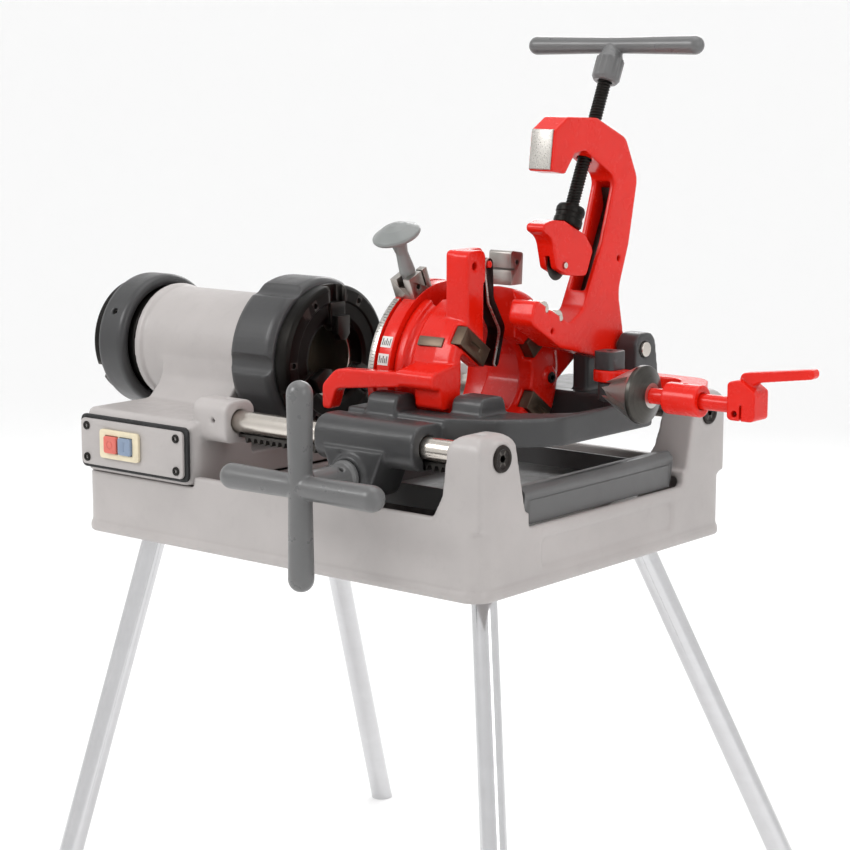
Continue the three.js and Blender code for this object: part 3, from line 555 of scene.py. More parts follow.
def base():
    inside = rectangle(-HALF_L + WALL, HALF_L - WALL, -HALF_W + WALL, HALF_W - WALL, 20)
    tub = prism("z", (0, RIM), rectangle(-HALF_L, HALF_L, -HALF_W, HALF_W, 26))
    foot = prism("z", (0, 11), rectangle(-HALF_L - 3, HALF_L + 3, -HALF_W - 3, HALF_W + 3, 29))
    horns = []
    for side in SIDES:
        face = side * HALF_W
        wide = [(274, 88), (HALF_L, 88), (HALF_L, POST_TOP, 20), (301, POST_TOP, 20)]
        wide += [(292, 128, 30), (277, 101, 14)]
        tall = [(face, 50), (face, POST_TOP, 22), (side * 204, POST_TOP, 22)]
        tall += [(side * 180, 100), (side * 174, 50)]
        across = prism("y", sorted((face, side * 171)), wide, 10)
        horns.append(both(across, prism("x", (270, HALF_L), tall, 10)))
    bosses = [strut(leg_line(*leg, -14), leg_line(*leg, 50), 25) for leg in leg_places()]
    swells = [bar("x", 23, (HALF_L - 12, HALF_L + 1.5), (side * RAIL_Y, RAIL_Z), 2) for side in SIDES]
    ribs = [block((HEAD_END - 8, HEAD_END), (-HALF_W + 6, HALF_W - 6), (7, 84))]
    ribs.append(block((30, 47), (-HALF_W + 6, HALF_W - 6), (7, 79)))
    body = joined(tub, foot, *horns)
    body = cut(
        body,
        prism("z", (FLOOR, RIM - 9), inside),
        block((-HALF_L + WALL, 270), (-HALF_W + WALL, HALF_W - WALL), (70, RIM + 1)),
        block((269, HALF_L + 5), (-173, 173), (80, RIM + 1)),
        block((-HALF_L - 1, HEAD_END), (-HALF_W - 1, HALF_W + 1), (85.4, RIM + 1)),
        prism("x", (HALF_L - 3, HALF_L + 5), rectangle(-150, 150, 22, 66, 12)),
    )
    body = joined(body, *ribs, *bosses, *swells)
    holes = [strut(leg_line(*leg, 44), leg_line(*leg, -40), LEG_R + 0.7) for leg in leg_places()]
    holes += [bar("x", RAIL_R + GAP, (280, HALF_L + 5), (side * RAIL_Y, RAIL_Z)) for side in SIDES]
    holes += [bar("z", 5.5, (POST_TOP - 9, POST_TOP + 3), (326, side * 240)) for side in SIDES]
    return cut(body, *holes)


def hex_hole(axis, r, ends, at=(0, 0)):
    return lathe(axis, [(ends[0], 0), (ends[0], r), (ends[1], r), (ends[1], 0)], at, 6)


def socket_screw(axis, r, ends, at=(0, 0)):
    """A round screw head with a chamfered rim and a hexagon socket in its outer end."""
    low, high = ends
    head = bar(axis, r, ends, at, 0.12 * r)
    outer = high if high > low else low
    return cut(head, hex_hole(axis, 0.5 * r, (outer - 0.7 * r, outer + 1), at))


def screw_facing_front(r, x, y, z, proud):
    """A round head on the -Y side, with its hexagon socket facing out."""
    head = lathe("y", [(y + 6, 0), (y + 6, r), (y - proud, r, 0.18 * r), (y - proud, 0)], (x, z), 40)
    return cut(head, hex_hole("y", 0.5 * r, (y - proud - 1, y - proud + 0.8 * r), (x, z)))


piece("base_shell", cast(base(), 3.0, 5, 0.5), "base_casting")
for end, side in leg_places():
    name = leg_name(end, side)
    low = -LEG_DROP - 30
    outer = strut(leg_line(end, side, 45.7), leg_line(end, side, low), LEG_R, 64)
    inner = strut(leg_line(end, side, 60), leg_line(end, side, low - 10), 14, 64)
    floor_cut = block((-900, 900), (-900, 900), (-LEG_DROP - 120, -LEG_DROP))
    piece(name + "_tube", smooth_shaded(cut(outer, inner, floor_cut)), name)
grub_screws = []
for end, side in leg_places():
    x, y, z = leg_line(end, side, -7)
    grub_screws.append(screw_facing_front(5, x, y - 21, z, 3.5))
piece("leg_set_screws", edged(beside(*grub_screws), 0.3), "base_casting", False, "black_screw")

# ---- rails ----
for side, name in zip(SIDES, ("front_rail", "rear_rail")):
    at = (side * RAIL_Y, RAIL_Z)
    rail_x = span(name)[0]
    piece(name + "_bar", smooth_shaded(bar("x", RAIL_R, rail_x, at, 1.0, 96)), name)
    inner = rail_x[1] + 0.4
    outer = HALF_L + 4
    plug = lathe("x", [
        (inner, 0), (inner, 14.6), (HALF_L, 14.6), (HALF_L + 0.3, 17.5, 1), (outer, 16.4, 1.2),
        (outer, 12.4, 0.8), (outer - 1.6, 11.6, 0.8), (outer - 1.6, 0),
    ], at, 72)
    plug = cut(plug, hex_hole("x", 5.4, (outer - 9, outer + 1), at))
    piece(name + "_plug_turned", smooth_shaded(plug), name + "_plug", True, "turned_black")
# The feed rack gets blackened steel. This is partly its own finish and partly painted shade: it is kept
# dark so that it reads as the shade under the front rail.
paint_node("feed_rack", "black_steel")

# ---- headstock ----
BARREL_R = 82
BARREL_X = (-404, -196)
HEAD_TOP = 172
HEAD_LOW = span("headstock_housing")[2][0]


def saddle(ends):
    r = BARREL_R
    y = SPINDLE_Y
    corners = [
        (y - r - 44, HEAD_TOP - 12), (y + r + 44, HEAD_TOP - 12), (y + r + 6, HEAD_TOP + 26, 34),
        (y + r - 1, SPINDLE_Z), (y - r + 1, SPINDLE_Z), (y - r - 6, HEAD_TOP + 26, 34),
    ]
    return prism("x", ends, corners, 10)


def headstock():
    x0 = -350
    y = HALF_W
    reach = 120

    def pocket(margin):
        return block(
            (BARREL_X[1] - margin, HEAD_END + 1),
            (SPINDLE_Y - reach - margin, SPINDLE_Y + reach + margin),
            (SPINDLE_Z - reach - margin, SPINDLE_Z + reach),
        )

    section = [(-y, HEAD_LOW), (y, HEAD_LOW), (y, HEAD_TOP, 20), (-y, HEAD_TOP, 20)]
    box = prism("x", (x0, HEAD_END), section, 10)
    keep = prism("z", (HEAD_LOW, HEAD_TOP + 1), rectangle(x0, HEAD_END, -y, y, 20), 10)
    shell = joined(
        both(box, keep),
        saddle((x0 + 4, BARREL_X[1])),
        bar("x", BARREL_R, (BARREL_X[0] + 8, BARREL_X[1]), AXIS, 1, 120),
        tube("x", 60, BARREL_R + 4, (BARREL_X[0], BARREL_X[0] + 12), AXIS, 2, 120),
    )
    rail_bosses = []
    for side in SIDES:
        ys = sorted((side * (RAIL_Y - 28), side * (RAIL_Y + 28)))
        rail_bosses.append(prism("x", (HEAD_END - 14, -87), rectangle(*ys, 146, 203, 16), 8))
    shell = joined(shell, *rail_bosses)
    return cut(
        shell,
        pocket(0),
        cut(block((x0 + 8, HEAD_END - 8), (-y + 8, y - 8), (HEAD_LOW - 1, HEAD_TOP - 8)), pocket(8)),
        bar("x", BEARING_R + GAP, (BARREL_X[0] - 1, BARREL_X[1] + 1), AXIS),
        *[bar("x", RAIL_R + GAP, (-124.4, -80), (side * RAIL_Y, RAIL_Z)) for side in SIDES],
        bar("y", 3.4, (-HALF_W, -HALF_W + 30), (-112, RAIL_Z + 2)),
        *[bar("z", 3.4, (193, 210), (-112, side * (RAIL_Y - 4))) for side in SIDES],
    )


piece("headstock_shell", cast(headstock(), 2.6, 5, 0.5), "headstock_housing")
for name in ("rear_bearing", "front_bearing"):
    ends = span(name)[0]
    piece(name + "_ring", smooth_shaded(tube("x", SPINDLE_R + GAP, BEARING_R, ends, AXIS, 1.2)), name)

# ---- switch ----
FRONT = -HALF_W
PANEL_X, _, PANEL_Z = span("switch_gasket")
SWITCH_X, _, SWITCH_Z = centre("switch_body")


def panel(ends, inset, r):
    (x0, x1), (z0, z1) = PANEL_X, PANEL_Z
    return prism("y", ends, rectangle(x0 + inset, x1 - inset, z0 + inset, z1 - inset, r), 8)


def round_switch(x, wide, high, r=0):
    """A rectangle about a point on the switch's middle line."""
    return rectangle(x - wide, x + wide, SWITCH_Z - high, SWITCH_Z + high, r)


piece("switch_gasket_frame", edged(panel((FRONT - 6, FRONT - 0.3), 0, 9), 1.2, 3), "switch_gasket")
plate = panel((FRONT - 10.5, FRONT - 6.3), 5, 7)
hole = prism("y", (-400, 0), round_switch(SWITCH_X, 34, 16))
piece("switch_plate_front", edged(cut(plate, hole), 0.7), "switch_plate")
panel_screws = []
for x in (PANEL_X[0] + 17, PANEL_X[1] - 17):
    for z in (PANEL_Z[0] + 15, PANEL_Z[1] - 15):
        panel_screws.append(screw_facing_front(6, x, FRONT - 10, z, 2.8))
piece("switch_plate_screws", smooth_shaded(beside(*panel_screws)), "switch_plate", False, "black_screw")
bezel = prism("y", (FRONT - 15, FRONT - 10.6), round_switch(SWITCH_X, 38, 20, 5))
back = prism("y", (FRONT - 11, FRONT - 6.4), round_switch(SWITCH_X, 33, 15))
wells = []
for x in (SWITCH_X - 14, SWITCH_X + 14):
    wells.append(prism("y", (FRONT - 20, FRONT - 8), round_switch(x, 12.6, 12.4)))
piece("switch_bezel", edged(cut(joined(bezel, back), *wells), 0.8, 3), "switch_body")
for name in ("stop_button", "start_button"):
    x = centre(name)[0]
    cap = prism("y", (FRONT - 18.8, FRONT - 12.4), round_switch(x, 12, 11.6, 3))
    if name == "stop_button":
        mark = tube("y", 4.2, 6.0, (FRONT - 20, FRONT - 18.3), (x, SWITCH_Z), 0, 40)
    else:
        mark = block((x - 1, x + 1), (FRONT - 20, FRONT - 18.3), (SWITCH_Z - 6, SWITCH_Z + 6))
    piece(name + "_cap", edged(cut(cap, mark), 0.7, 3), name)

# ---- spindle and chucks ----
spindle = tube("x", 46, SPINDLE_R, span("spindle_tube")[0], AXIS, 1.5, 96)
piece("spindle_bore_tube", smooth_shaded(spindle), "spindle_tube")


def lobed(ends, inner, outer, lobes, notch, edge, phase=0.0):
    """A cast grip ring: rounded lobes with scooped finger notches between them."""
    body = tube("x", inner, outer, ends, (0, 0), edge, 96)
    tools = []
    for i in range(lobes):
        scoop = bar("x", notch, (ends[0] - 1, ends[1] + 1), (0, outer + notch * 0.62))
        tools.append(spun(scoop, phase + (i + 0.5) * 360 / lobes))
    return on_axis(cut(body, *tools))


def three(make):
    return [spun(make(), 120 * i) for i in range(3)]


grip = lobed(span("hammer_ring")[0], 85.5, 113, 6, 19, 12)
piece("hammer_ring_grip", cast(grip, 1.6, 5), "hammer_ring")
ring_x = span("rear_ring")[0]
ring_middle = (sum(ring_x) / 2, 0)
ring_turns = [60 + 120 * i for i in range(3)]


def ring_screw():
    socket = hex_hole("z", 2.2, (91, 96), ring_middle)
    return cut(bar("z", 4.4, (84, 94), ring_middle, 0.5), socket)


rear = tube("x", 79.5, 98, ring_x, (0, 0), 9, 96)
rear = cut(rear, *[spun(bar("z", 5, (90, 110), ring_middle), turn) for turn in ring_turns])
piece("rear_ring_grip", cast(on_axis(rear), 1.5, 4), "rear_ring")
ring_screws = beside(*[spun(ring_screw(), turn) for turn in ring_turns])
piece("rear_ring_screws", smooth_shaded(on_axis(ring_screws)), "rear_ring", False, "black_screw")


def chuck(node, hub_r, face_r, step, slot_w, slot_depth, outward):
    """A chuck body with a stepped face, one radial slot for each jaw and a ring of screw holes in the
    face.
    """
    x0, x1 = span(node)[0]
    face = x1 if outward > 0 else x0
    back = x0 if outward > 0 else x1
    d = outward
    bore = SPINDLE_R + GAP
    profile = [
        (back, bore, 1), (back, hub_r, 2), (step, hub_r), (step, face_r, 2),
        (face - 4 * d, face_r, 4), (face, face_r - 6, 2), (face, face_r - 22, 1),
        (face - 2 * d, face_r - 24, 1), (face - 2 * d, 62, 2), (face - 5 * d, bore, 1),
        (back, bore, 1),
    ]
    body = lathe("x", profile, (0, 0), 120)
    slot = (face - slot_depth, face + 2) if outward > 0 else (face - 2, face + slot_depth)
    tools = three(lambda: block(slot, (-slot_w / 2, slot_w / 2), (50, face_r + 9)))
    holes = []
    for i in range(6):
        holes.append(spun(bar("x", 4.2, (face - 5, face + 5), (0, face_r - 14), 0, 28), 30 + 60 * i))
    return on_axis(cut(body, *tools, *holes))


body = chuck("chuck_body", 84, 104, -107, 30, 16, 1)
piece("chuck_body_turned", edged(body, 0.5), "chuck_body")
body = chuck("rear_chuck_body", 78, 88, -471, 24, 12, -1)
piece("rear_chuck_body_turned", edged(body, 0.5), "rear_chuck_body")


def jaw(ends, low, high, width, nose):
    half, tip = width / 2, width / 5
    corners = [(-half, low + nose), (-tip, low), (tip, low), (half, low + nose)]
    return prism("x", ends, corners + [(half, high), (-half, high)])


def front_jaw():
    """A two-step jaw with grooves across its gripping end."""
    face = span("chuck_body")[0][1]
    tip = 28
    length = 11
    grooves = 4
    foot = jaw((face - 15.6, face + 1), 40, 80, 29.4, 9)
    body = joined(foot, jaw((face, face + 12), tip, 62, 24, 9))
    tools = []
    for i in range(grooves):
        tool = spun(block((-1.1, 1.1), (-20, 20), (-1.1, 1.1)), 45, "Y")
        tools.append(moved(tool, face + 1 + length / grooves * (i + 0.5), 0, tip))
    return cut(body, *tools)


def rear_jaw():
    face = span("rear_chuck_body")[0][0]
    return jaw((face - 2, face + 11.6), 47, 74, 23.4, 7)


for i in range(3):
    front = moved(spun(front_jaw(), 120 * i), 0, *AXIS)
    piece(f"chuck_jaw_{i + 1}_steel", edged(front, 0.6), f"chuck_jaw_{i + 1}")
    back_jaw = moved(spun(rear_jaw(), 120 * i), 0, *AXIS)
    piece(f"rear_jaw_{i + 1}_steel", edged(back_jaw, 0.6), f"rear_jaw_{i + 1}")
for name in ("main_gear", "countershaft", "motor_pinion", "feed_pinion", "motor", "oil_pump"):
    paint_node(name, slot_of[name])

# ---- carriage ----
DECK = (172, 209)
CARRIAGE_X = span("carriage_casting")[0]
RACK_LOW = span("feed_rack")[2][0]
REAMER_X, REAMER_Y = centre("reamer_cap")[:2]
CAR_L = CARRIAGE_X[0]
CAR_R = 236


def carriage():
    y = RAIL_Y
    fx = FEED_X
    deck = prism("z", DECK, [
        (CAR_L + 4, -y + 30), (CAR_R, -y + 30), (298, -172, 60), (346, -104, 44), (346, 104, 40),
        (298, 150, 40), (CAR_R - 6, y - 30), (112, y - 30), (112, 76), (CAR_L + 4, 76),
    ], 10)
    belly = [(fx - 34, FEED_Z, 20), (fx - 24, FEED_Z - 30, 14), (fx + 24, FEED_Z - 30, 14)]
    belly += [(fx + 38, FEED_Z, 20), (fx + 52, 168), (fx - 48, 168)]
    body = joined(
        deck,
        prism("x", (CAR_L, CAR_R), rectangle(-y - 31, -y + 36, 146, 205, 24), 10),
        prism("x", (108, CAR_R), rectangle(y - 32, y + 30, 146, 205, 24), 10),
        prism("y", (-y - 36, -y + 28), belly, 8),
        bar("y", 27, (-y - 42, -y + 20), (fx, FEED_Z), 3, 72),
        prism("x", (110, 158), [(-208, 190), (-160, 190), (-160, 230, 12), (-200, 230, 14)], 8),
        prism("x", (222, 270), [(-176, 190), (-112, 190), (-122, 232, 12), (-166, 232, 12)], 8),
        *[
            prism("x", ends, [(98, 190), (160, 190), (142, PIVOT_Z + 22, 20), (98, PIVOT_Z + 22, 18)], 8)
            for ends in ((118, 150), (217, 241), (288, 320))
        ],
        bar("z", 15, (DECK[0] + 10, 236), (REAMER_X, REAMER_Y), 1.5),
    )
    dish = [(280, -96, 12), (300, -96, 16), (334, -60, 20), (334, 70, 20), (280, 70, 12)]
    return cut(
        body,
        block((60, 234), (-160, 84), (DECK[0] - 1, DECK[1] + 12)),
        block((230, 287), (-106, 84), (DECK[0] - 1, DECK[1] + 1)),
        prism("z", (DECK[0] + 12, DECK[1] + 1), dish),
        bar("x", PIVOT_R + GAP, (100, 340), (PIVOT_Y, PIVOT_Z)),
        *[bar("x", RAIL_R + 0.8, (0, 400), (side * y, RAIL_Z)) for side in SIDES],
        block((0, 400), (-y - 7, -y + 7), (RACK_LOW - 1, RAIL_Z - 6)),
        bar("y", 21.5, (-y - 13, -y + 13), (fx, FEED_Z)),
        bar("y", FEED_SHAFT_R + GAP, (-400, -150), (fx, FEED_Z)),
        bar("y", 3, (-y - 36, -y - 20), (fx - 16, FEED_Z + 28)),
    )


piece("carriage_shell", cast(carriage(), 2.3, 6, 0.6), "carriage_casting")
post = bar("z", 7.8, (230, 264), (REAMER_X, REAMER_Y), 1)
piece("reamer_post", smooth_shaded(post), "carriage_casting", False, "bright_steel")
shaft = bar("x", PIVOT_R, span("pivot_shaft")[0], (PIVOT_Y, PIVOT_Z), 1.2, 64)
piece("pivot_shaft_bar", smooth_shaded(shaft), "pivot_shaft")

WHEEL_HIGH = span("handwheel")[1][1]
WHEEL_Y = -360
WHEEL_REACH = (span("handwheel")[2][1] - span("handwheel")[2][0]) / 2


def capsule(reach, r, waist):
    """A rod with round ends that thins a little towards its middle."""
    low = [(-reach, 0)]
    for i in range(1, 13):
        a = math.pi / 2 * i / 12
        low.append((-reach + r - r * math.cos(a), r * math.sin(a)))
    profile = low + [(-r, waist), (r, waist)] + [(-x, y) for x, y in reversed(low)]
    return lathe("z", profile, (0, 0), 64)


def hand_wheel():
    arms = [capsule(WHEEL_REACH, 16.6, 15.2), spun(capsule(WHEEL_REACH, 16.6, 15.2), 90, "Y")]
    hub = lathe("y", [
        (WHEEL_HIGH, 0), (WHEEL_HIGH, 22, 1.5), (WHEEL_HIGH - 7, 22, 2), (WHEEL_HIGH - 9, 19, 2),
        (WHEEL_Y + 8, 17), (WHEEL_Y - 13, 13, 5), (WHEEL_Y - 13, 0),
    ], (0, 0), 72)
    body = joined(hub, *[moved(arm, 0, WHEEL_Y, 0) for arm in arms])
    screw_hole = moved(spun(bar("z", 3.2, (8, 30)), 40, "Y"), 0, WHEEL_HIGH - 22, 0)
    body = cut(body, bar("y", FEED_SHAFT_R + GAP, (WHEEL_Y + 13, 0)), screw_hole)
    return moved(body, FEED_X, 0, FEED_Z)


piece("handwheel_cast", cast(hand_wheel(), 1.5, 5), "handwheel", True, "handle_grey")
seal_y = (WHEEL_HIGH + 0.3, -RAIL_Y - 36.5)
if WHEEL_HIGH < -RAIL_Y - 37:
    seal = tube("y", FEED_SHAFT_R + GAP, 23.2, seal_y, (FEED_X, FEED_Z), 0.6)
    piece("handwheel_seal", smooth_shaded(seal), "carriage_casting", False, "gasket_rubber")

# ---- die head, drawn about the spindle's axis ----
DIE_X = (112, 212)
DIE_R = 120
THROAT = 54
HINGE = (PIVOT_Y - SPINDLE_Y, PIVOT_Z - SPINDLE_Z)
EAR_X = (188, 212)
EAR = (-34, 152)
CHASERS = (35, 145, 215, 325)


def chaser(angle, margin, inner):
    outer = (116 if angle < 180 else 106) + (8 if margin else 0)
    half = 13 + margin
    return spun(block((DIE_X[1] - 13 - margin, DIE_X[1] + 3), (inner, outer), (-half, half)), angle)


def die_head():
    x0, x1 = DIE_X
    frame_disc = lathe("x", [
        (x0, 0), (x0, DIE_R - 6, 2), (x0 + 14, DIE_R - 6, 3), (x0 + 18, DIE_R - 12, 3),
        (x0 + 26, DIE_R - 12, 3), (x0 + 32, DIE_R - 4, 4), (x1 - 30, DIE_R, 8),
        (x1 - 4, DIE_R - 2, 8), (x1, DIE_R - 14, 3), (x1, 0),
    ], (0, 0), 120)
    lug = [(84, -34), (84, 74), (HINGE[0], HINGE[1] + 20), (HINGE[0], HINGE[1] - 20)]
    bridge = [(-84, 60), (-46, 60), (-46, 134), (-22, 134, 8), (-22, 172, 8), (-84, 172, 8)]
    window = [(-20, 20, 6), (-54, 20), (-97, 46, 6), (-97, -40, 6), (-54, -20), (-20, -20, 6)]
    behind = [(-62, -50, 12), (62, -50, 12), (85, -14, 16), (85, 22, 24)]
    behind += [(50, 70, 24), (-50, 70, 24), (-85, 22, 24), (-85, -14, 16)]
    body = joined(
        frame_disc,
        prism("x", (155, 209), lug, 8),
        bar("x", 20, (155, 209), HINGE, 1),
        prism("x", EAR_X, [(-84, 60), (-46, 60), (-46, 172, 10), (-84, 172, 10)], 8),
        prism("x", (176, 189), bridge, 8),
        bar("x", 13, (x1 - 4, x1 + 3.4), (62, -84), 2),
        bar("x", 13, (x1 - 4, x1 + 3.4), (92, -8), 2),
    )
    shapes = [
        bar("x", THROAT, (x0 - 1, x1 + 5)),
        prism("x", (x0 - 1, x1 - 24), behind, 8),
        prism("x", (x0 + 24, x1 + 1), window, 8),
        block((x0 - 1, x1 + 1), (-50, 16), (0, DIE_R + 10)),
        block((x0 - 1, x1 + 5), (-200, 110), (-200, -66)),
        bar("x", PIVOT_R + GAP, (x0, x1), HINGE),
        bar("x", 5, (x0, x1 + 1), (-68, 152)),
        *[chaser(a, 0.6, 50) for a in CHASERS],
        *[bar("x", 4.5, (x1 - 2, x1 + 5), at) for at in ((62, -84), (92, -8))],
    ]
    body = cut(body, *shapes)
    leg = [(-142, 10, 8), (-136, -26, 8), (-119, -26), (-117, -50, 6), (-101, -50), (-101, 10)]
    hook = [(x1 - 56, 1), (x1 - 56, 20), (50, 16, 20), (26, -6, 14), (26, -38, 5), (40, -38, 5)]
    hook.append((50, -10, 10))
    return joined(
        body,
        prism("x", (x1 - 42, x1), leg, 8),
        prism("x", (x1 - 60, x1), [(-155, 1, 8), (-96, 1), (-96, 34), (-155, 22, 8)], 8),
        prism("y", (-155, -134), hook, 10),
        bar("x", 5, (EAR_X[0] - 2, EAR_X[1] - 2), EAR),
    )


piece("die_head_cast", cast(on_axis(die_head()), 1.7, 5, 0.7), "die_head_frame")
bolts = [socket_screw("x", 7.6, (DIE_X[1] - 2, DIE_X[1] + 5.5), at) for at in ((62, -84), (92, -8))]
piece("die_head_bolts", smooth_shaded(on_axis(beside(*bolts))), "die_head_frame", False, "black_screw")
KEY_TURN = 152
rim_key = spun(block((150, 190), (110, 121.6), (-6.5, 6.5)), KEY_TURN)
piece("rim_key_block", edged(on_axis(rim_key), 0.8), "die_head_frame", False, "tool_steel")
for i, angle in enumerate(CHASERS):
    body = chaser(angle, 0, 57)
    slot_cut = spun(block((DIE_X[1] + 1.6, DIE_X[1] + 5), (76, 96), (-2.6, 2.6)), angle)
    number = f"chaser_{i + 1}"
    piece(number + "_steel", edged(on_axis(cut(body, slot_cut)), 1.0, 3), number)

CAM_X = (76, 111.6)
CAM_R = 123
CAM_BORE = 88
KNOB_TURN = 24


def cam():
    x0, x1 = CAM_X
    r = CAM_R
    return lathe("x", [
        (x0, CAM_BORE, 1), (x0, 95, 1), (x0 + 2.5, 98, 1), (x0 + 2.5, 106, 1), (x0, 109, 1),
        (x0, r - 1.5, 1), (x0 + 1.5, r, 0.5), (x0 + 11, r, 0.8), (x0 + 11, r - 6, 0.8),
        (x0 + 15, r - 6, 0.8), (x0 + 15, r - 1, 0.8), (x1, r - 1, 1), (x1, CAM_BORE, 1),
        (x0, CAM_BORE, 1),
    ], (0, 0), 180)


piece("cam_plate_disc", smooth_shaded(on_axis(cam()), 30), "cam_plate")


def arc_band(ends, inner, outer, first, last, steps=60):
    """Part of a ring about X, from one angle to another, in degrees from up towards the front."""
    points = []
    for x in ends:
        for r in (inner, outer):
            for i in range(steps + 1):
                a = math.radians(first + (last - first) * i / steps)
                points.append((x, -r * math.sin(a), r * math.cos(a)))
    n = steps + 1
    faces = []
    for i in range(steps):
        a, b, c, d = i, n + i, 2 * n + i, 3 * n + i
        faces += [(a, a + 1, b + 1, b), (c, d, d + 1, c + 1), (a, c, c + 1, a + 1), (b, b + 1, d + 1, d)]
    faces += [(0, n, 3 * n, 2 * n), (steps, 2 * n + steps, 3 * n + steps, n + steps)]
    return shape(points, faces)


# Angles round the cam plate are in degrees from straight up towards the front.
SCALE_FROM, SCALE_TO = 34, 92
scale_x = (CAM_X[0] + 1.6, CAM_X[0] + 10.6)
scale = arc_band(scale_x, CAM_R - 1.2, CAM_R + 0.6, SCALE_FROM, SCALE_TO)
piece("cam_scale", edged(on_axis(scale), 0.25), "cam_plate", False, "bright_steel")
marks = []
MARKS = 28
for i in range(MARKS):
    turn = SCALE_FROM + 1.5 + (SCALE_TO - SCALE_FROM - 3) * i / (MARKS - 1)
    start = scale_x[0] + 0.8 + (0 if i % 3 == 0 else 3)
    mark = block((start, scale_x[1] - 0.8), (-0.28, 0.28), (CAM_R + 0.3, CAM_R + 0.9))
    marks.append(spun(mark, turn))
piece("cam_scale_marks", on_axis(beside(*marks)), "cam_plate", False, "dial_ink")
LABELS = (62, 73)
LABEL_WIDTH = 7
labels = []
strokes = []
for turn in LABELS:
    ends = (CAM_X[0] + 16, CAM_X[0] + 33)
    labels.append(arc_band(ends, CAM_R - 1.6, CAM_R - 0.4, turn, turn + LABEL_WIDTH, 12))
    for k in range(5):
        x = CAM_X[0] + 18 + 3 * k
        stroke = block((x, x + 1.2), (-4.6, 4.6 - 3 * (k % 2)), (CAM_R - 0.7, CAM_R - 0.1))
        strokes.append(spun(stroke, turn + LABEL_WIDTH / 2))
piece("cam_labels", on_axis(beside(*labels)), "cam_plate", False, "dial_white")
piece("cam_label_marks", on_axis(beside(*strokes)), "cam_plate", False, "dial_ink")


def clamp():
    x0, x1 = CAM_X
    r = CAM_R
    body = block((x0 + 2, x1 - 1), (-19, 19), (r - 10, r + 26))
    return cut(
        body,
        block((x0 + 13, x1 - 12), (-20, 20), (r + 14, r + 30)),
        block((x0, x1 + 1), (7, 10), (r + 4, r + 30)),
        bar("x", 3.6, (x0, x0 + 8), (12.5, r + 12)),
        bar("x", 3.6, (x1 - 8, x1 + 2), (-6, r + 10)),
    )


piece("cam_clamp", edged(on_axis(spun(clamp(), KNOB_TURN)), 0.9, 2), "cam_plate", False, "clamp_steel")
CAM_MIDDLE = sum(CAM_X) / 2
KNOB = [
    (14.6, 0), (14.6, 8.6, 1), (30, 10.6, 3), (56, 8, 6), (72, 11, 8), (78, 30, 3), (81, 32.4, 2),
    (84.5, 32, 3), (93, 17, 10), (96.5, 5, 4), (96.5, 0),
]
knob = lathe("z", [(CAM_R + point[0], *point[1:]) for point in KNOB], (CAM_MIDDLE, 0), 96)
knob = on_axis(spun(knob, KNOB_TURN))
piece("cam_knob_mushroom", smooth_shaded(knob, 50), "cam_knob", True, "knob_grey")

LEVER = [
    (-45, 150, 9), (-38, 162, 8), (-24, 158, 8), (-22, 108, 20), (3, 68, 14),
    (-12, 18, 6), (-26, 18, 6), (-12, 64, 16), (-37, 102, 16),
]
lever_x = span("trip_lever")[0]
lever_hole = (150, 220)
plate = cut(prism("x", (lever_x[0], lever_x[1] - 2), LEVER, 10), bar("x", 5.6, lever_hole, EAR))
piece("trip_lever_plate", edged(on_axis(plate), 0.7, 2), "trip_lever")
# A thin strip of bright steel runs along the front side of the lever's outline, over the dark plate. It
# is partly a worn bare edge and partly a painted highlight where light catches that side.
rib = prism("x", (lever_x[1] - 1.9, lever_x[1]), LEVER, 10)
rib = cut(rib, moved(prism("x", lever_hole, LEVER, 10), 0, 3.4, 0), bar("x", 6.4, lever_hole, EAR))
piece("trip_lever_highlight_strip", edged(on_axis(rib), 0.4, 2), "trip_lever", False, "bright_steel")
block_outline = [(17, DIE_R + 0.5), (41, DIE_R + 0.5), (43, 162, 4), (17, 166, 4)]
stop = cut(
    prism("x", (168, 204), block_outline),
    bar("x", 3.5, (198, 206), (30, 150)),
    block((160, 210), (10, 24), (140, 143)),
)
piece("stop_block_steel", edged(on_axis(stop), 1.0), "stop_block", True, "stop_steel")

# ---- pipe cutter: drawn about the pipe's seat, with Z along its feed screw ----
LEAN = 24
SEAT = (centre("cutter_frame")[0], -20, 355)
SEAT_TURN = Matrix.Translation(SEAT) @ Matrix.Rotation(math.radians(-LEAN), 4, "X")
KNUCKLE = (SEAT_TURN.inverted() @ Vector((SEAT[0], PIVOT_Y, PIVOT_Z))).yz
ROLLER_Z = -30
WHEEL_Z = 36
HANDLE_Z = 342


def leaning(mesh):
    mesh.transform(SEAT_TURN)
    return mesh


def c_frame():
    t = 19
    ky, kz = KNUCKLE
    outline = [
        (-84, 132, 4), (-99, 182, 6), (-80, 208, 12), (-20, 232, 16), (52, 234, 22), (100, 196, 24),
        (118, 110, 50), (122, 44, 50), (ky - 4, kz + 20, 24), (ky, kz - 20), (30, -66, 22),
        (-46, -58, 14), (-48, -26, 8), (36, -30, 10), (56, -6, 20), (61, 90, 50), (52, 178, 18),
        (-26, 184, 10), (-46, 172, 8), (-55, 140, 4),
    ]
    body = joined(prism("x", (-t, t), outline, 10), bar("x", 20, (-t, t), KNUCKLE, 1.5, 72))
    channel = [(86, 22, 12), (88, 150, 20), (70, 172, 12), (40, 172, 6), (40, 22, 6)]
    return cut(
        body,
        bar("x", PIVOT_R + GAP, (-t - 1, t + 1), KNUCKLE),
        bar("z", 9.6, (170, 270)),
        block((-12.6, 12.6), (-34, 34), (ROLLER_Z - 14, 0)),
        prism("x", (-11, 11), channel, 8),
        *[bar("x", 4.6, (-t - 1, t + 1), (y, ROLLER_Z)) for y in (-17, 17)],
        bar("x", 4.0, (-t - 1, t + 1), (104, 84)),
        bar("x", 3.4, (-t - 1, t + 1), (4, -52)),
    )


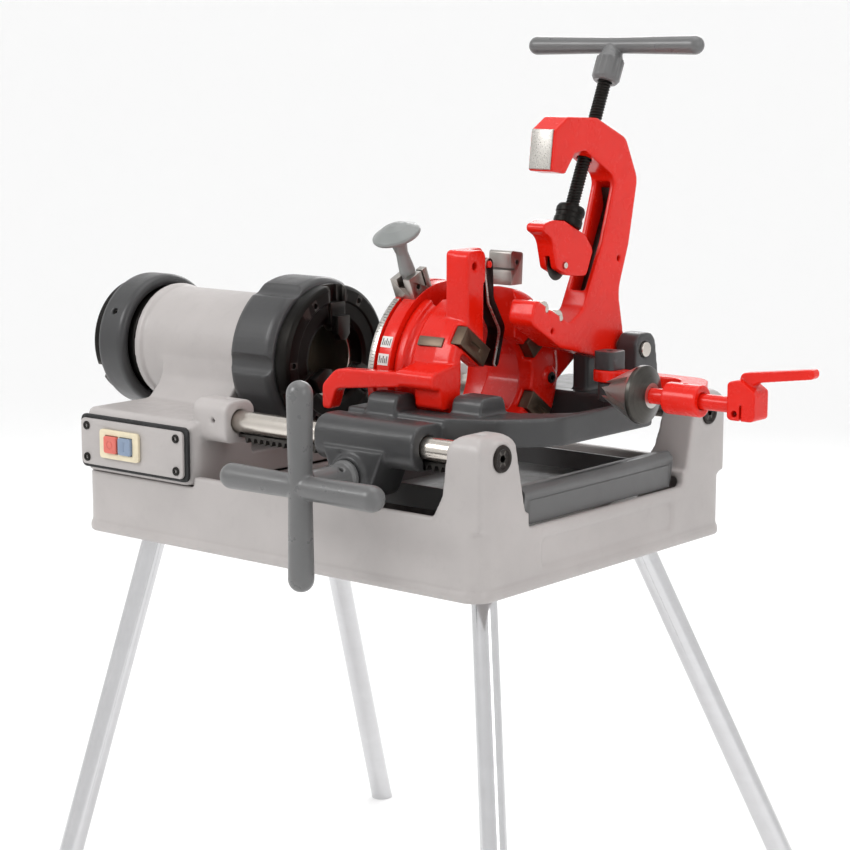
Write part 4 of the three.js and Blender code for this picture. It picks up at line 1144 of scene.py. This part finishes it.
piece("cutter_frame_cast", cast(leaning(c_frame()), 1.5, 5, 0.6), "cutter_frame")
tip = prism("x", (-16.5, 16.5), [(-86.6, 134, 1), (-100.8, 182, 1), (-97, 184), (-82, 134)])
piece("cutter_jaw_face", edged(leaning(tip), 0.6), "cutter_frame", False, "bright_steel")
lining = [(84, 24, 10), (86, 149, 18), (69, 170, 12), (66, 168), (81, 148, 18), (79, 24)]
lining = prism("x", (-10.4, 10.4), lining, 8)
piece("cutter_channel_lining", smooth_shaded(leaning(lining)), "cutter_frame", False, "black_steel")
for i, y in enumerate((-17, 17)):
    number = f"cutter_roller_{i + 1}"
    roller = lathe("x", [
        (-17, 0), (-17, 4, 0.5), (-12, 4), (-12, 10.6, 1), (-6, 11, 1), (-5, 10.2, 0.5),
        (5, 10.2, 0.5), (6, 11, 1), (12, 10.6, 1), (12, 4), (17, 4, 0.5), (17, 0),
    ], (y, ROLLER_Z), 64)
    piece(number + "_turned", smooth_shaded(leaning(roller)), number)


def slider():
    outline = [
        (-74, 60, 6), (-48, 80, 20), (-24, 88, 6), (26, 88, 4), (51, 76, 8), (51, 40, 8),
        (30, 32, 12), (10, 26, 8), (-14, 26, 8), (-40, 58, 24),
    ]
    return cut(
        prism("x", (-14, 14), outline, 10),
        block((-3.6, 3.6), (-24, 24), (10, WHEEL_Z + 23)),
        bar("x", 4.4, (-20, 20), (0, WHEEL_Z)),
    )


piece("cutter_slider_cast", cast(leaning(slider()), 1.2, 4), "cutter_slider")
wheel = lathe("x", [
    (-3, 4.3), (-3, 10, 0.5), (-1.5, 12, 0.5), (0, 20.2), (1.5, 12, 0.5), (3, 10, 0.5),
    (3, 4.3), (-3, 4.3),
], (0, WHEEL_Z), 96)
piece("cutter_wheel_disc", smooth_shaded(leaning(wheel), 20), "cutter_wheel")
pin = lathe("x", [(-16, 0), (-16, 4, 0.6), (16, 4, 0.6), (16, 0)], (0, WHEEL_Z), 40)
piece("wheel_pin_bar", smooth_shaded(leaning(pin)), "wheel_pin")


def threaded(r, depth, ends, lead, starts=2, sides=48):
    """A screw thread about Z with plain cone ends."""
    step = lead / starts / 8
    rows = int((ends[1] - ends[0]) / step) + 1
    points = []
    for row in range(rows):
        z = ends[0] + row * step
        fade = min(1, (z - ends[0]) / 3, (ends[1] - z) / 3)
        for i in range(sides):
            a = 2 * math.pi * i / sides
            phase = (z * starts / lead - a * starts / (2 * math.pi)) % 1.0
            crest = min(1, max(0, 2.2 * abs(2 * phase - 1) - 0.6))
            radius = r - depth * (1 - crest) * max(0, fade)
            points.append((radius * math.cos(a), radius * math.sin(a), z))
    faces = [list(range(sides)), list(range((rows - 1) * sides, rows * sides))]
    for row in range(rows - 1):
        here = row * sides
        for i in range(sides):
            j = (i + 1) % sides
            faces.append((here + i, here + j, here + sides + j, here + sides + i))
    return shape(points, faces)


collar = lathe("z", [
    (88.4, 0), (88.4, 17, 1), (91, 19, 1), (98, 19, 0.6), (99, 18, 0.6), (105, 18, 0.6),
    (106, 19, 0.6), (112, 19, 1), (116, 17, 1), (116, 0),
], (0, 0), 96)
thread = threaded(9, 1.0, (110, HANDLE_Z - 37), 8)
piece("feed_screw_thread", smooth_shaded(leaning(beside(collar, thread)), 45), "feed_screw")


def t_handle():
    half = (span("t_handle")[0][1] - span("t_handle")[0][0]) / 2
    grip = spun(capsule(half, 12.2, 10.6), 90, "Y")
    sleeve = lathe("z", [
        (-52, 9.4), (-52, 15.4, 1), (-47, 18.4, 1), (-20, 17, 2), (-6, 12, 3), (0, 9), (0, 5),
        (-36, 5), (-36, 9.4), (-52, 9.4),
    ], (0, 0), 72)
    count = 14
    ribs = []
    for i in range(count):
        ribs.append(spun(block((-1.2, 1.2), (15.0, 18.7), (-47.5, -19)), 360 / count * i, "Z"))
    return moved(joined(grip, sleeve, *ribs), 0, 0, HANDLE_Z)


piece("t_handle_cast", cast(leaning(t_handle()), 1.1, 3), "t_handle", True, "handle_grey")

# ---- reamer ----
SLEEVE_X = (462, 512)
REAMER_BAR_R = 10
ARM_Z = (236.4, 252)


def reamer_arm():
    arm = [
        (REAMER_X, REAMER_Y - 13), (440, REAMER_Y - 15, 30), (SLEEVE_X[0] + 4, SPINDLE_Y + 12),
        (SLEEVE_X[1] - 4, SPINDLE_Y + 12), (464, REAMER_Y + 9, 40), (REAMER_X, REAMER_Y + 13),
    ]
    return cut(
        joined(
            bar("z", 21, ARM_Z, (REAMER_X, REAMER_Y), 1.5, 72),
            prism("z", ARM_Z, arm, 10),
            bar("x", 20, SLEEVE_X, AXIS, 2, 72),
        ),
        bar("x", REAMER_BAR_R + GAP, (440, 540), AXIS),
        bar("z", 8.6, (230, 270), (REAMER_X, REAMER_Y)),
        bar("z", 3, (250, 262), (SLEEVE_X[0] + 25, SPINDLE_Y)),
    )


piece("reamer_arm_cast", cast(reamer_arm(), 1.3, 4, 0.8), "reamer_arm")
at = (REAMER_X, REAMER_Y)
half = 16
cap = rectangle(REAMER_X - half, REAMER_X + half, REAMER_Y - half, REAMER_Y + half, 7)
cap = prism("z", span("reamer_cap")[2], cap, 8)
cap = cut(cap, bar("z", 8.2, (230, 266), at), hex_hole("z", 4.5, (270, 280), at))
piece("reamer_cap_block", edged(cap, 1.6, 4), "reamer_cap")
CONE_X = span("reamer_cone")[0]


def cone():
    """A cone with six cutting flutes, each with one straight cutting face."""
    tip, rim = CONE_X
    r = 37
    wide = rim - 16
    body = lathe("x", [
        (tip, 0), (tip + 1, 3), (wide, r, 2), (rim - 10, r, 2), (rim, 16, 1), (rim, 0),
    ], (0, 0), 120)
    slope = math.degrees(math.atan2(r - 3, wide - tip))
    flutes = []
    for i in range(6):
        flute = block((-10, wide - tip + 4), (0, 9), (-6.0, 12))
        flute.transform(Matrix.Rotation(math.radians(-slope), 4, "Y"))
        flutes.append(spun(moved(flute, tip, 0, 0), 60 * i))
    return on_axis(cut(body, *flutes, bar("x", REAMER_BAR_R + 0.4, (rim - 26, rim + 1))))


piece("reamer_cone_fluted", edged(cone(), 0.4), "reamer_cone", True, "cone_steel")


def reamer_bar():
    rod = bar("x", REAMER_BAR_R, (CONE_X[1] - 25, 566), (0, 0), 1, 64)
    clamp_block = [(556, -16, 6), (594, -16, 6), (594, 20, 6), (572, 34, 6), (556, 30, 6)]
    clamp_block = prism("y", (-17, 17), clamp_block, 8)
    handle = prism("y", (-7, 7), [(568, 12), (568, 41, 8), (668, 54, 6), (668, 42, 6), (592, 31, 10)], 8)
    slit = block((573, 576), (-20, 20), (-17, 4))
    bolt_hole = bar("y", 4, (-20, 20), (566, -8))
    return on_axis(cut(joined(rod, clamp_block, handle), slit, bolt_hole))


piece("reamer_bar_cast", cast(reamer_bar(), 1.2, 4), "reamer_bar")

# ---- chip tray ----
TRAY_X, TRAY_Y, TRAY_Z = span("chip_tray")


def tray():
    x0, x1 = TRAY_X
    y = TRAY_Y[1]
    z0, z1 = TRAY_Z[0], 110
    top = TRAY_Z[1]
    front = [(x1 - 30, z0 + 4), (x1 - 4, z0 + 4, 3), (x1, top - 8, 6), (x1 - 8, top, 4)]
    front.append((x1 - 30, top - 4, 3))
    body = joined(
        prism("z", (z0, z1), rectangle(x0, x1, -y, y, 12), 8),
        prism("y", (-y, y), front, 6),
        prism("z", (z1 - 3, z1), rectangle(x0, x1 - 4, -y, y, 12), 8),
    )
    inside = rectangle(x0 + 4, x1 - 30, -y + 4, y - 4, 10)
    return cut(body, prism("z", (z0 + 4, z1 + 1), inside, 8))


piece("chip_tray_pressed", edged(tray(), 1.4, 3), "chip_tray")

# ---- floor, light and camera ----
FLOOR_R = 4.6
CURVE_R = 3.0
WALL_TOP = 6.0
SEGMENTS = 128
STEPS = 16
floor_line = [(0.0, 0.0), (FLOOR_R, 0.0)]
for i in range(1, STEPS + 1):
    a = math.pi / 2 * i / STEPS
    floor_line.append((FLOOR_R + CURVE_R * math.sin(a), CURVE_R * (1 - math.cos(a))))
floor_line.append((FLOOR_R + CURVE_R, WALL_TOP))
floor_mesh = lathe("z", [(z, r) for r, z in floor_line], (0, 0), SEGMENTS)
floor_mesh.shade_smooth()
floor = new_object("floor", floor_mesh)
pale = bpy.data.materials.new("pale_floor")
pale.use_nodes = True
sockets = pale.node_tree.nodes["Principled BSDF"].inputs
sockets["Base Color"].default_value = (0.9, 0.9, 0.9, 1)
sockets["Roughness"].default_value = 0.75
sockets["Emission Color"].default_value = (1.0, 1.0, 1.0, 1)
sockets["Emission Strength"].default_value = 0.09
floor_mesh.materials.append(pale)

world = bpy.data.worlds.new("studio")
bpy.context.scene.world = world
world.use_nodes = True
sockets = world.node_tree.nodes["Background"].inputs
sockets["Color"].default_value = (1.0, 1.0, 1.0, 1)
sockets["Strength"].default_value = 0.86

TARGET = Vector((0, 0, 0.72))


def soft_box(name, place, size, power):
    data = bpy.data.lights.new(name, "AREA")
    data.shape = "RECTANGLE"
    data.size, data.size_y = size
    data.energy = power
    lamp = new_object(name, data)
    lamp.location = place
    lamp.rotation_euler = (TARGET - Vector(place)).to_track_quat("-Z", "Y").to_euler()


soft_box("key", (-1.5, -2.6, 2.7), (1.6, 1.2), 44)
soft_box("fill", (3.0, -0.6, 1.9), (0.9, 2.0), 16)
soft_box("top", (0.2, 0.3, 3.3), (2.6, 2.0), 26)
soft_box("rim", (-1.4, 2.9, 2.3), (1.8, 1.0), 24)

camera_data = bpy.data.cameras.new("camera")
camera = new_object("camera", camera_data)
camera.location = (1.84824, -2.30173, 1.21278)
camera.rotation_euler = (math.radians(80.5), 0, math.radians(39.5))
camera_data.sensor_width = 36
camera_data.lens = 93.2
bpy.context.scene.camera = camera
bpy.context.scene.view_settings.view_transform = "Standard"
bpy.context.scene.view_settings.look = "None"
